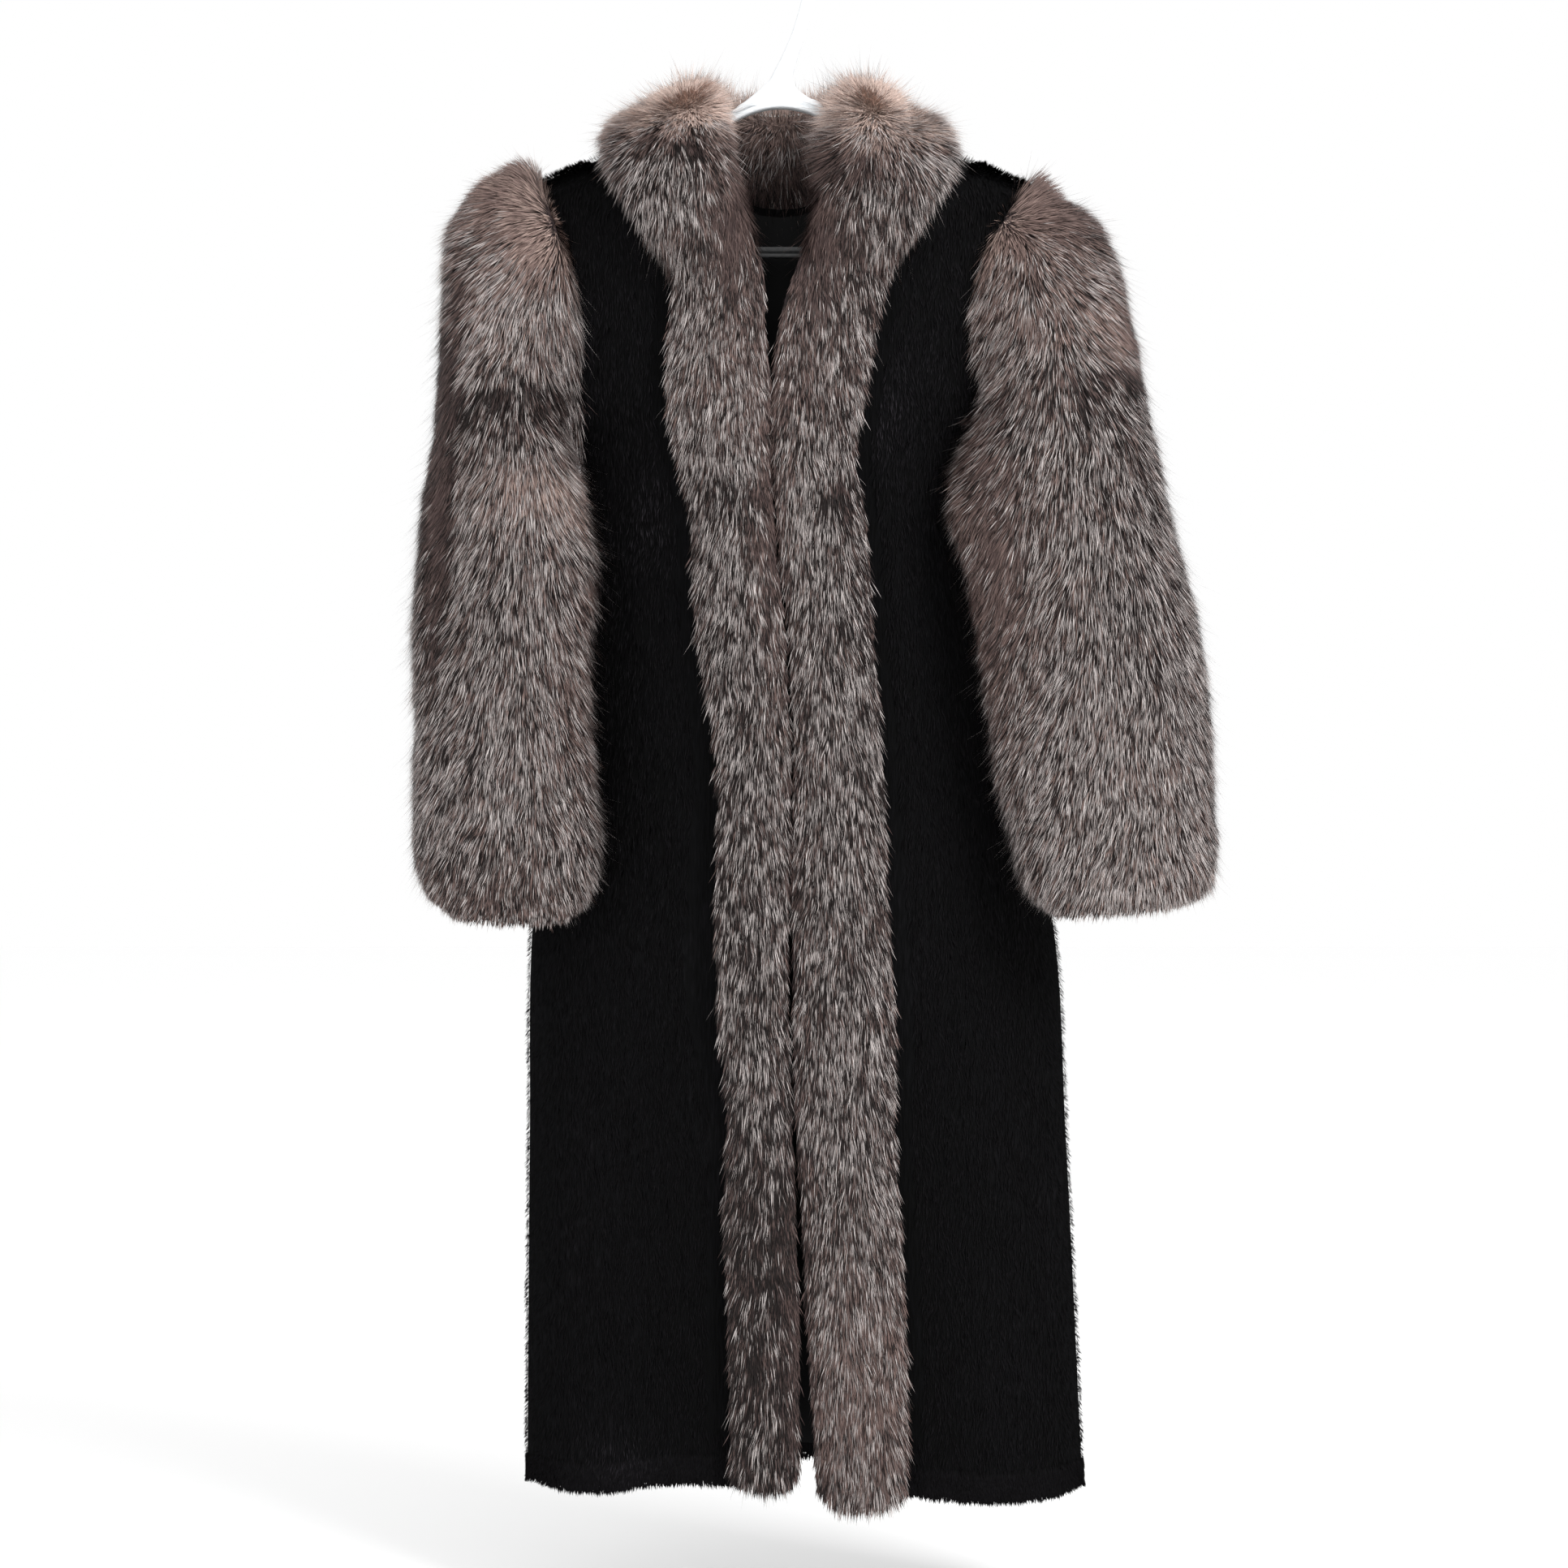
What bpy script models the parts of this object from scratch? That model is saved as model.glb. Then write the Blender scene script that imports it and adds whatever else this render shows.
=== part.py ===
"""Full length fur coat on a moulded plastic hanger: black mink body, silver fox sleeves, borders and collar.

Metres, +Z up. The coat faces -Y and +X is to the right of someone who looks at its front. The origin is where
the hanger's hook rests on its rail: the top of the hook's inside. Everything hangs below it.
Each panel starts from its skin side, the inside of the coat, and its leather and fur are thickness put on
outwards. Neighbouring pieces stay GAP apart.
"""

import bpy
import bmesh
import numpy as np

GAP = 0.0003
CUT_GAP = 0.0004  # gap to a piece that is cut to fit
LEATHER = 0.002  # bare leather, under the border and the collar
MINK = 0.008  # leather with its short pile
PILE_RISE = 0.011  # width over which the pile rises beside the border
SATIN = 0.001
PAST_MIDDLE = 0.001  # how far each half of the form that cuts the collar reaches past the coat's middle plane

# Shoulders and neck, on the skin side. The shoulder line is straight from the neck point to the tip.
NECK_X, NECK_Z = 0.090, -0.1765
TIP_X, TIP_Z = 0.2155, -0.2267
BACK_NECK_Z = -0.232
SHOULDER_ROLL = 0.050  # depth below the shoulder line where the coat reaches its full thickness
UNDERARM_Z = -0.450
SIDE_HEM_X, OPENING_HEM_X = 0.25, 0.03  # where the hem is read for the seam's and the opening's last row

# Rows of the panels: down the armhole, with one more close under the shoulder seam, then down the side seam
ARM_ROWS, SEAM_ROWS, JOIN_ROW = 11, 12, 6
BORDER_COLUMNS, SIDE_COLUMNS, BACK_COLUMNS = 5, 7, 17


def table(names, *rows):
    """A table as a dictionary of columns, from one tuple for each row."""
    return dict(zip(names.split(), np.array(rows, float).T))


# How far down the armhole each of its rows lies, as a share of the ten equal steps round it
ARM_STEPS = np.array((0, 0.3, 1, 2, 3, 4, 5, 6, 7, 8, 9, 10)) / 10


# Half widths and depths of the body at the skin side. Above the underarm they are the form that
# the armhole cuts into. seam_y is where the side seam lies, front_y and back_y the middle of each side.
BODY = table(
    "z      left    right   seam_y  front_y  back_y",
    (-0.15, 0.240, 0.240, 0.000, -0.045, 0.048),
    (-0.30, 0.225, 0.225, 0.000, -0.045, 0.048),
    (-0.38, 0.202, 0.202, 0.000, -0.045, 0.048),
    (-0.42, 0.192, 0.192, 0.003, -0.045, 0.048),
    (-0.45, 0.174, 0.174, 0.008, -0.045, 0.048),
    (-0.53, 0.178, 0.179, 0.024, -0.043, 0.050),
    (-0.62, 0.187, 0.192, 0.031, -0.041, 0.053),
    (-0.75, 0.200, 0.218, 0.034, -0.038, 0.056),
    (-0.88, 0.212, 0.242, 0.033, -0.036, 0.057),
    (-1.06, 0.214, 0.252, 0.028, -0.033, 0.057),
    (-1.38, 0.216, 0.267, 0.022, -0.030, 0.056),
)
ARMHOLE = table(
    "z        x",
    (TIP_Z, TIP_X),
    (-0.263, 0.198),
    (-0.292, 0.186),
    (-0.342, 0.178),
    (-0.390, 0.179),
    (UNDERARM_Z, 0.174),
)
HEM = table(
    "x       front   back",
    (-0.225, -1.375, -1.372),
    (-0.150, -1.375, -1.370),
    (-0.120, -1.368, -1.366),
    (0.000, -1.369, -1.360),
    (0.120, -1.377, -1.366),
    (0.200, -1.385, -1.374),
    (0.275, -1.380, -1.376),
)
# Soft vertical flutes of the hanging skins: place at the hem, side (front -1, back 1), height and half width there
FLUTES = table(
    "x      side  height  width",
    (-0.155, -1, 0.006, 0.026),
    (0.175, -1, 0.008, 0.030),
    (0.235, -1, 0.004, 0.018),
    (-0.140, 1, 0.007, 0.030),
    (-0.035, 1, 0.005, 0.026),
    (0.085, 1, 0.008, 0.034),
    (0.190, 1, 0.006, 0.026),
)
# The fox borders' edges, inner and outer, on each side of the opening
LEFT_BORDER = table(
    "z       inner    outer",
    (-0.1765, 0.0550, 0.1600),
    (-0.195, 0.0480, 0.1550),
    (-0.225, 0.0350, 0.1370),
    (-0.255, 0.0220, 0.1200),
    (-0.290, 0.0108, 0.1045),
    (-0.340, 0.0100, 0.1050),
    (-0.415, 0.0075, 0.1055),
    (-0.460, 0.0085, 0.0950),
    (-0.515, 0.0060, 0.0845),
    (-0.600, -0.0035, 0.0800),
    (-0.700, -0.0088, 0.0665),
    (-0.980, -0.0086, 0.0625),
    (-1.000, -0.0095, 0.0560),
    (-1.134, -0.0155, 0.0520),
    (-1.290, -0.0195, 0.0520),
    (-1.379, -0.0185, 0.0450),
)
RIGHT_BORDER = table(
    "z       inner    outer",
    (-0.1765, 0.0550, 0.1600),
    (-0.195, 0.0480, 0.1550),
    (-0.225, 0.0350, 0.1370),
    (-0.255, 0.0220, 0.1200),
    (-0.290, 0.0108, 0.1045),
    (-0.340, -0.0040, 0.0920),
    (-0.415, -0.0062, 0.0780),
    (-0.450, -0.0072, 0.0720),
    (-0.515, -0.0048, 0.0790),
    (-0.600, 0.0050, 0.0850),
    (-0.700, 0.0102, 0.0925),
    (-0.846, 0.0095, 0.0995),
    (-0.960, 0.0102, 0.1066),
    (-1.020, 0.0110, 0.1035),
    (-1.134, 0.0170, 0.1100),
    (-1.290, 0.0270, 0.1155),
    (-1.402, 0.0370, 0.1175),
)
BORDER_HEMS = {"left": -1.379, "right": -1.402}
BORDER_FUR = 0.030  # depth of the borders' fur in their middle
BORDER_EDGE = 0.28  # its depth at their edges, as a share of that
BORDER_OVERHANG = 0.009  # how far the border's fur stands past the edge of the panel under it
LINING_HEM = 0.12  # how far the lining's hem stays above the skins', as a share of the last row

# Collar: from its seam with a border, over the shoulder, to the middle of the back
COLLAR = table(
    "x       y       z       half_width  half_thick",
    (0.0577, -0.054, -0.290, 0.0470, 0.023),
    (0.0680, -0.058, -0.262, 0.0510, 0.025),
    (0.0820, -0.060, -0.232, 0.0550, 0.027),
    (0.0940, -0.055, -0.204, 0.0590, 0.030),
    (0.1010, -0.038, -0.176, 0.0620, 0.033),
    (0.1030, -0.010, -0.158, 0.0630, 0.034),
    (0.1000, 0.024, -0.156, 0.0620, 0.034),
    (0.0860, 0.054, -0.162, 0.0600, 0.033),
    (0.0610, 0.073, -0.172, 0.0590, 0.031),
    (0.0310, 0.082, -0.181, 0.0590, 0.030),
    (0.0000, 0.085, -0.185, 0.0600, 0.029),
)
COLLAR_STATIONS, COLLAR_SIDES = 29, 16

# Sleeve sections from the shoulder to the cuff. Each is an oval seen edge on from the front, from its outer
# end to its inner end, with its middle and half depth in Y and the thickness of the fox wall.
LEFT_SLEEVE = table(
    "out_x   out_z   in_x    in_z    mid_y   half_y  wall",
    (0.250, -0.198, 0.190, -0.452, -0.002, 0.058, 0.017),
    (0.276, -0.220, 0.188, -0.456, -0.005, 0.060, 0.019),
    (0.295, -0.255, 0.185, -0.462, -0.010, 0.061, 0.021),
    (0.303, -0.310, 0.181, -0.470, -0.016, 0.061, 0.023),
    (0.306, -0.370, 0.176, -0.480, -0.022, 0.060, 0.024),
    (0.310, -0.435, 0.171, -0.496, -0.029, 0.059, 0.025),
    (0.318, -0.500, 0.166, -0.524, -0.034, 0.058, 0.025),
    (0.326, -0.560, 0.163, -0.566, -0.038, 0.057, 0.025),
    (0.330, -0.620, 0.165, -0.620, -0.040, 0.058, 0.025),
    (0.326, -0.680, 0.163, -0.680, -0.041, 0.058, 0.025),
    (0.325, -0.740, 0.158, -0.740, -0.042, 0.058, 0.025),
    (0.322, -0.800, 0.154, -0.800, -0.042, 0.057, 0.025),
    (0.315, -0.838, 0.161, -0.838, -0.042, 0.055, 0.023),
    (0.308, -0.857, 0.170, -0.857, -0.042, 0.050, 0.016),
    (0.298, -0.869, 0.181, -0.869, -0.042, 0.043, 0.007),
)
RIGHT_SLEEVE = table(
    "out_x   out_z   in_x    in_z    mid_y   half_y  wall",
    (0.250, -0.203, 0.190, -0.452, -0.002, 0.058, 0.017),
    (0.274, -0.217, 0.188, -0.456, -0.005, 0.060, 0.019),
    (0.290, -0.248, 0.185, -0.462, -0.010, 0.061, 0.021),
    (0.306, -0.296, 0.180, -0.470, -0.016, 0.061, 0.023),
    (0.319, -0.362, 0.174, -0.480, -0.023, 0.060, 0.024),
    (0.333, -0.440, 0.166, -0.495, -0.031, 0.059, 0.025),
    (0.348, -0.500, 0.158, -0.522, -0.037, 0.058, 0.025),
    (0.362, -0.560, 0.161, -0.566, -0.041, 0.057, 0.025),
    (0.375, -0.620, 0.172, -0.620, -0.042, 0.058, 0.025),
    (0.384, -0.680, 0.184, -0.680, -0.043, 0.058, 0.025),
    (0.389, -0.740, 0.193, -0.740, -0.044, 0.058, 0.025),
    (0.391, -0.800, 0.204, -0.800, -0.044, 0.057, 0.025),
    (0.387, -0.838, 0.215, -0.838, -0.044, 0.055, 0.023),
    (0.379, -0.857, 0.226, -0.857, -0.044, 0.050, 0.016),
    (0.367, -0.869, 0.238, -0.869, -0.044, 0.043, 0.007),
)
SLEEVES = {"left": LEFT_SLEEVE, "right": RIGHT_SLEEVE}
SLEEVE_RIM = 0.012  # width of the sleeve's edge round the armhole
SLEEVE_FULLNESS = 0.75  # power of the front half's section: 1 is an ellipse, less is fuller
# How far the fur of the sleeve head stands off the armhole: everywhere, more at the shoulder, more at the sides
HEAD_PUFF, HEAD_PUFF_TOP, HEAD_PUFF_SIDES = 0.013, 0.024, 0.012
HEAD_STEP = 0.004  # from the armhole out to the head's first full ring
HEAD_WALL = 0.006  # the same on the inside
# Long creases down the sleeves: side, the height where each starts and ends, its place round the oval in
# degrees from the outer end towards the front, its half width there and its depth
CREASES = table(
    "side  top     bottom   angle  spread  depth",
    (-1, -0.38, -0.72, 52, 20, 0.009),
    (-1, -0.34, -0.62, 305, 22, 0.006),
    (1, -0.42, -0.76, 128, 22, 0.007),
    (1, -0.36, -0.66, 300, 20, 0.006),
)

# Hanger
ARM_HALF_TALL, ARM_HALF_DEEP = 0.005, 0.006
HOOK_RADIUS, HOOK_HALF_WIDE, HOOK_HALF_DEEP = 0.0275, 0.0055, 0.0045
HOOK_END = 205  # degrees round from the side where the stem comes in
HANGER_SIDES = 12  # sides of the hanger's ovals
ARM_PATH = table(
    "x       z",
    (0.000, -0.1458),
    (0.020, -0.1485),
    (0.045, -0.1590),
    (0.068, -0.1725),
)
ARM_REACH = 0.188
ARM_RETURN = table(
    "x       z",
    (0.1985, -0.2360),
    (0.1980, -0.2580),
    (0.1880, -0.2735),
    (0.1720, -0.2782),
    (0.1650, -0.2782),
)
ARM_SEAT = 0.0007  # the arms' rounded top stays this far under the shoulder seams
ARM_ROOM = 0.0005  # room for the arms in the collar
BAR_HALF_LENGTH, BAR_HALF_TALL, BAR_HALF_DEEP, BAR_Z = 0.1647, 0.005, 0.004, -0.2782
STEM = table(
    "x        z        half_wide  half_deep",
    (0.0000, -0.1500, 0.0360, 0.0052),
    (0.0000, -0.1455, 0.0290, 0.0054),
    (0.0000, -0.1390, 0.0215, 0.0055),
    (0.0005, -0.1310, 0.0145, 0.0055),
    (0.0022, -0.1210, 0.0090, 0.0055),
    (0.0097, -0.1008, 0.0066, 0.0052),
    (0.0166, -0.0821, 0.0060, 0.0050),
    (0.0237, -0.0560, 0.0056, 0.0048),
    (0.0270, -0.0380, 0.0055, 0.0046),
)


# ---------------------------------------------------------------- curves and surfaces


def smooth(at, keys, values):
    """Cubic curve through (keys, values), its slope at each key the mean of those on both sides."""
    order = np.argsort(keys)
    keys, values = np.asarray(keys, float)[order], np.asarray(values, float)[order]
    slopes = np.gradient(values, keys)
    at = np.clip(at, keys[0], keys[-1])
    i = np.clip(np.searchsorted(keys, at, side="right") - 1, 0, len(keys) - 2)
    span = keys[i + 1] - keys[i]
    t = (at - keys[i]) / span
    rise = values[i + 1] - values[i]
    cubic = (slopes[i] + slopes[i + 1]) * span - 2 * rise
    square = 3 * rise - (2 * slopes[i] + slopes[i + 1]) * span
    return values[i] + t * (slopes[i] * span + t * (square + t * cubic))


def shoulder_z(x):
    """Height of the shoulder line, carried on straight past the neck point."""
    return NECK_Z + (np.abs(x) - NECK_X) * (TIP_Z - NECK_Z) / (TIP_X - NECK_X)


def half_width(x_sign, z):
    return smooth(z, BODY["z"], BODY["left" if x_sign < 0 else "right"])


def flutes(x, z, side):
    """Height of the flutes: bumps across, which grow from nothing at the chest to their height at the hem."""
    grown = np.clip((z - UNDERARM_Z) / (HEM["back"].min() - UNDERARM_Z), 0, 1) ** 1.4
    total = np.zeros(np.broadcast(x, z).shape)
    for place, on_side, height, width in zip(*FLUTES.values()):
        if on_side == side:
            total = total + height * grown * np.exp(-(((x - place) / width) ** 2))
    return total


def skin_y(x, z, side):
    """Skin side of the body: between the side seams the depth follows (1 - t^2)^(3/4), with t from the middle
    to the seam, and over the shoulders it closes on the shoulder line as a quarter of an ellipse."""
    half = np.where(x < 0, half_width(-1, z), half_width(1, z))
    seam = smooth(z, BODY["z"], BODY["seam_y"])
    middle = smooth(z, BODY["z"], BODY["front_y" if side < 0 else "back_y"])
    across = np.clip(1 - (x / half) ** 2, 0, 1) ** 0.75
    drop = np.clip((shoulder_z(x) - z) / SHOULDER_ROLL, 0, 1)
    over = np.sqrt(1 - (1 - drop) ** 2)
    return seam + (middle - seam + side * flutes(x, z, side)) * across * over


def row_heights(hem_z):
    """Heights of the panels' rows at their outer edge, down the armhole and then down the side seam."""
    arm = TIP_Z + (UNDERARM_Z - TIP_Z) * (1 - np.cos(np.pi * ARM_STEPS)) / 2
    seam = UNDERARM_Z + (hem_z - UNDERARM_Z) * np.arange(1, SEAM_ROWS + 1) / SEAM_ROWS
    return np.concatenate([arm, seam])


def edge_x(x_sign, z):
    """Half width of the panels at their outer edge: the armhole, then the side seam."""
    armhole = smooth(z, ARMHOLE["z"], ARMHOLE["x"])
    return np.where(z > UNDERARM_Z + 1e-6, armhole, half_width(x_sign, z))


def inner_heights(hem_z):
    """Heights of the same rows beside the front opening."""
    arm = NECK_Z + (UNDERARM_Z - NECK_Z) * ARM_STEPS**1.27
    seam = UNDERARM_Z + (hem_z - UNDERARM_Z) * np.arange(1, SEAM_ROWS + 1) / SEAM_ROWS
    return np.concatenate([arm, seam])


JOIN_Z = inner_heights(-1.0)[JOIN_ROW]  # seam between collar and border


def border_x(x_sign, z, edge):
    edges = LEFT_BORDER if x_sign < 0 else RIGHT_BORDER
    return smooth(z, edges["z"], edges[edge])


def panel_inner_x(x_sign, z):
    """The panel's own edge beside the opening: at the neck it bends out to the neck point."""
    to_neck = np.clip((z - JOIN_Z) / (NECK_Z - JOIN_Z), 0, 1)
    straight = border_x(x_sign, np.minimum(z, JOIN_Z), "inner") + BORDER_OVERHANG
    return straight + (NECK_X - straight) * to_neck**1.4


def front_net(x_sign):
    """Points of a front panel's skin side, rows from shoulder to hem and columns from opening to side."""
    side_hem = smooth(x_sign * SIDE_HEM_X, HEM["x"], HEM["front"])
    opening_hem = smooth(x_sign * OPENING_HEM_X, HEM["x"], HEM["front"])
    z_in, z_edge = inner_heights(opening_hem), row_heights(side_hem)
    slope = np.clip((z_in - JOIN_Z) / (NECK_Z - JOIN_Z), 0, 1) ** 1.2
    x_in, x_edge = panel_inner_x(x_sign, z_in), edge_x(x_sign, z_edge)
    x_under = border_x(x_sign, z_in, "outer")
    z_under = z_in + (shoulder_z(x_under[0]) - NECK_Z) * slope
    under = np.linspace(0, 1, BORDER_COLUMNS)
    beside = np.sin(np.pi / 2 * np.arange(1, SIDE_COLUMNS + 1) / SIDE_COLUMNS)
    start = x_under + PILE_RISE
    x = np.concatenate(
        [
            x_in[:, None] + (x_under - x_in)[:, None] * under,
            (x_under + 0.001)[:, None],
            start[:, None],
            start[:, None] + (x_edge - start)[:, None] * beside,
        ],
        axis=1,
    )
    run = (x - x_under[:, None]) / (x_edge - x_under)[:, None]
    z = np.where(
        run > 0,
        z_under[:, None] + (z_edge - z_under)[:, None] * run,
        z_in[:, None] + (z_under - z_in)[:, None] * (x - x_in[:, None]) / (x_under - x_in)[:, None],
    )
    below = np.clip(np.arange(len(z_in)) - ARM_ROWS, 0, None)[:, None] / SEAM_ROWS
    hem = smooth(x_sign * x, HEM["x"], HEM["front"])
    z = np.where(below > 0, UNDERARM_Z + (hem - UNDERARM_Z) * below, z)
    x = x_sign * x
    return np.stack([x, skin_y(x, z, -1), z], axis=-1)


def back_net():
    """Points of the back panel's skin side, rows from neck and shoulders to hem and columns from left to right."""
    across = np.sin(np.pi / 2 * np.linspace(-1, 1, BACK_COLUMNS))
    rows = {sign: row_heights(smooth(sign * SIDE_HEM_X, HEM["x"], HEM["front"])) for sign in (-1, 1)}
    sign = np.where(across < 0, -1, 1)
    z_edge = np.where(sign < 0, rows[-1][:, None], rows[1][:, None])
    reach = np.where(sign < 0, edge_x(-1, rows[-1])[:, None], edge_x(1, rows[1])[:, None])
    x = across * reach
    top_x = np.abs(across) * TIP_X
    neckline = BACK_NECK_Z + (NECK_Z - BACK_NECK_Z) * (top_x / NECK_X) ** 2.2
    top = np.where(top_x < NECK_X, neckline, shoulder_z(top_x))
    seam_hem = smooth(sign * SIDE_HEM_X, HEM["x"], HEM["front"])
    down = (z_edge - TIP_Z) / (seam_hem - TIP_Z)
    z = top + (smooth(x, HEM["x"], HEM["back"]) - top) * down
    z += (z_edge - np.where(sign < 0, z[:, :1], z[:, -1:])) * np.abs(across) ** 6
    return np.stack([x, skin_y(x, z, 1), z], axis=-1)


def normals(net, outward):
    """Unit normals of a net of points, turned to the side that outward points to."""
    down, over = np.gradient(net, axis=0), np.gradient(net, axis=1)
    found = np.cross(over, down)
    found /= np.linalg.norm(found, axis=-1, keepdims=True)
    return found * np.where((found * outward).sum(-1, keepdims=True) < 0, -1, 1)


def panel_normals(net, side, seam_columns, shoulder_columns):
    """Outward normals, which lie in the seam's plane along the side seams and along the shoulder seam."""
    out = normals(net, np.array((0, side, 0.05)))
    for column in seam_columns:
        sign = np.sign(net[-1, column, 0])
        rows = np.arange(ARM_ROWS, len(net))
        out[rows, column] = (sign, 0, 0)
    rise = np.array((TIP_X - NECK_X, 0, TIP_Z - NECK_Z))
    for column in shoulder_columns:
        sign = np.sign(net[0, column, 0])
        out[0, column] = np.array((-sign * rise[2], 0, rise[0])) / np.linalg.norm(rise)
    return out


# ---------------------------------------------------------------- meshes and materials


def linear(hex_colour):
    """sRGB hex to the linear colour that a material takes."""
    channels = [int(hex_colour[i : i + 2], 16) / 255 for i in (1, 3, 5)]
    return [c / 12.92 if c <= 0.04045 else ((c + 0.055) / 1.055) ** 2.4 for c in channels] + [1.0]


def material(name, colour, roughness, sheen=0.0):
    made = bpy.data.materials.new(name)
    made.use_nodes = True
    shader = made.node_tree.nodes["Principled BSDF"]
    shader.inputs["Base Color"].default_value = linear(colour)
    shader.inputs["Roughness"].default_value = roughness
    shader.inputs["Metallic"].default_value = 0.0
    shader.inputs["Sheen Weight"].default_value = sheen
    made.diffuse_color = linear(colour)
    return made


def mesh_object(name, points, faces, finish):
    """One closed mesh from points and faces, with its faces turned outwards."""
    mesh = bpy.data.meshes.new(name)
    mesh.from_pydata([tuple(p) for p in points], [], faces)
    shape = bmesh.new()
    shape.from_mesh(mesh)
    bmesh.ops.recalc_face_normals(shape, faces=shape.faces)
    shape.to_mesh(mesh)
    shape.free()
    mesh.materials.append(finish)
    mesh.shade_smooth()
    mesh.set_sharp_from_angle(angle=np.radians(50))
    made = bpy.data.objects.new(name, mesh)
    bpy.context.scene.collection.objects.link(made)
    return made


def net_faces(at, wrapped):
    """Triangles over a net of point numbers, all split the same way, so that a net moved out lies on its net."""
    here, over = (at, np.roll(at, -1, axis=1)) if wrapped else (at[:, :-1], at[:, 1:])
    first = np.stack([here[:-1], here[1:], over[1:]], axis=-1)
    second = np.stack([here[:-1], over[1:], over[:-1]], axis=-1)
    return np.concatenate([first, second]).reshape(-1, 3)


def rim_faces(points, rim, rim_out):
    """Triangles between a closed run of inner points and its outer points. Each quad is split from its higher
    inner point, so that the rims of two pieces that meet at a seam are split alike."""
    faces = []
    for a, b, out_a, out_b in zip(rim, np.roll(rim, -1), rim_out, np.roll(rim_out, -1)):
        if points[a][2] < points[b][2]:
            a, b, out_a, out_b = b, a, out_b, out_a
        faces += [(a, b, out_b), (a, out_b, out_a)]
    return np.array(faces)


def slab(name, inside, outside, finish):
    """A panel: two nets of the same size, joined round their edges."""
    points = np.concatenate([inside.reshape(-1, 3), outside.reshape(-1, 3)])
    at = np.arange(len(points) // 2).reshape(inside.shape[:2])
    far = at + at.size
    rims = [np.concatenate([g[0, :-1], g[:-1, -1], g[-1, :0:-1], g[:0:-1, 0]]) for g in (at, far)]
    faces = [net_faces(at, False), net_faces(far, False), rim_faces(points, *rims)]
    return mesh_object(name, points, np.concatenate(faces).tolist(), finish)


def tube(name, inside, outside, finish):
    """A sleeve: two nets of rings, joined at both ends."""
    points = np.concatenate([inside.reshape(-1, 3), outside.reshape(-1, 3)])
    at = np.arange(len(points) // 2).reshape(inside.shape[:2])
    far = at + at.size
    faces = [net_faces(at, True), net_faces(far, True)]
    faces += [rim_faces(points, at[end], far[end]) for end in (0, -1)]
    return mesh_object(name, points, np.concatenate(faces).tolist(), finish)


def loft(name, rings, finish):
    """A solid through closed rings, with a flat cap at each end."""
    count, sides = rings.shape[:2]
    at = np.arange(count * sides).reshape(count, sides)
    faces = [tuple(map(int, at[0])), tuple(map(int, at[-1, ::-1]))]
    for i in range(count - 1):
        for j in range(sides):
            k = (j + 1) % sides
            faces.append(tuple(map(int, (at[i, j], at[i + 1, j], at[i + 1, k], at[i, k]))))
    return mesh_object(name, rings.reshape(-1, 3), faces, finish)


def cutter(made):
    """Marks an object as a cutter, which isn't a piece."""
    made.hide_render = True
    made.display_type = "WIRE"
    return made


def boolean(made, operation, other):
    step = made.modifiers.new(operation.lower() + " " + other.name, "BOOLEAN")
    step.operation = operation
    step.object = other


# ---------------------------------------------------------------- panels


def make_front(name, x_sign, finish):
    """A mink front: leather under the border and collar, with the pile standing beside them. Gives its skin
    side, its outward normals and its fur side, as nets."""
    net = front_net(x_sign)
    net[:, :, 1] -= GAP / 2
    out = panel_normals(net, -1, [-1], range(net.shape[1]))
    thick = np.where(np.arange(net.shape[1]) > BORDER_COLUMNS, MINK, LEATHER)[None, :, None]
    slab(name, net, net + thick * out, finish)
    return net, out, net + thick * out


def make_back(finish):
    """The mink back, and the same nets as those of a front."""
    net = back_net()
    net[:, :, 1] += GAP / 2
    middle = np.abs(net[0, :, 0]) < NECK_X
    shoulders = [j for j in range(net.shape[1]) if not middle[j]]
    out = panel_normals(net, 1, [0, -1], shoulders)
    slab("back", net, net + MINK * out, finish)
    return net, out, net + MINK * out


def make_lining(net, out, finish):
    """The back's satin, from just under the neck seam to just above the hem, GAP inside the skins."""
    inner = net[2:, 2:-2].copy()
    away = out[2:, 2:-2]
    inner[-1] += (inner[-2] - inner[-1]) * LINING_HEM
    slab("lining_back", inner - (GAP + SATIN) * away, inner - GAP * away, finish)


def make_border(name, x_sign, side_name, panel_out, panel_normal, finish):
    """A fox border: its underside is the panel's own points moved out, and its fur rises over them in a crown."""
    under = panel_out[JOIN_ROW:, :BORDER_COLUMNS]
    away = panel_normal[JOIN_ROW:, :BORDER_COLUMNS].copy()
    away[:, :, 2] = 0
    away /= np.linalg.norm(away, axis=-1, keepdims=True)
    base = under + GAP * panel_normal[JOIN_ROW:, :BORDER_COLUMNS]
    edge = base[:, :1].copy()
    edge[:, 0, 0] = x_sign * border_x(x_sign, edge[:, 0, 2], "inner")
    edge[:, 0, 1] = skin_y(edge[:, 0, 0], edge[:, 0, 2], -1) - LEATHER - GAP
    base = np.concatenate([edge, base], axis=1)
    away = np.concatenate([away[:, :1], away], axis=1)
    place = np.abs(base[:, :, 0] - base[:, :1, 0])
    place /= place[:, -1:]
    arch = np.sqrt(np.clip(1 - np.abs(2 * place - 1) ** 2.4, 0, 1))
    crown = BORDER_FUR * (BORDER_EDGE + (1 - BORDER_EDGE) * arch)
    base[0, :, 2] = JOIN_Z - GAP
    base[-1, :, 2] = BORDER_HEMS[side_name]
    slab(name, base, base + crown[:, :, None] * away, finish)


# ---------------------------------------------------------------- sleeves


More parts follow.
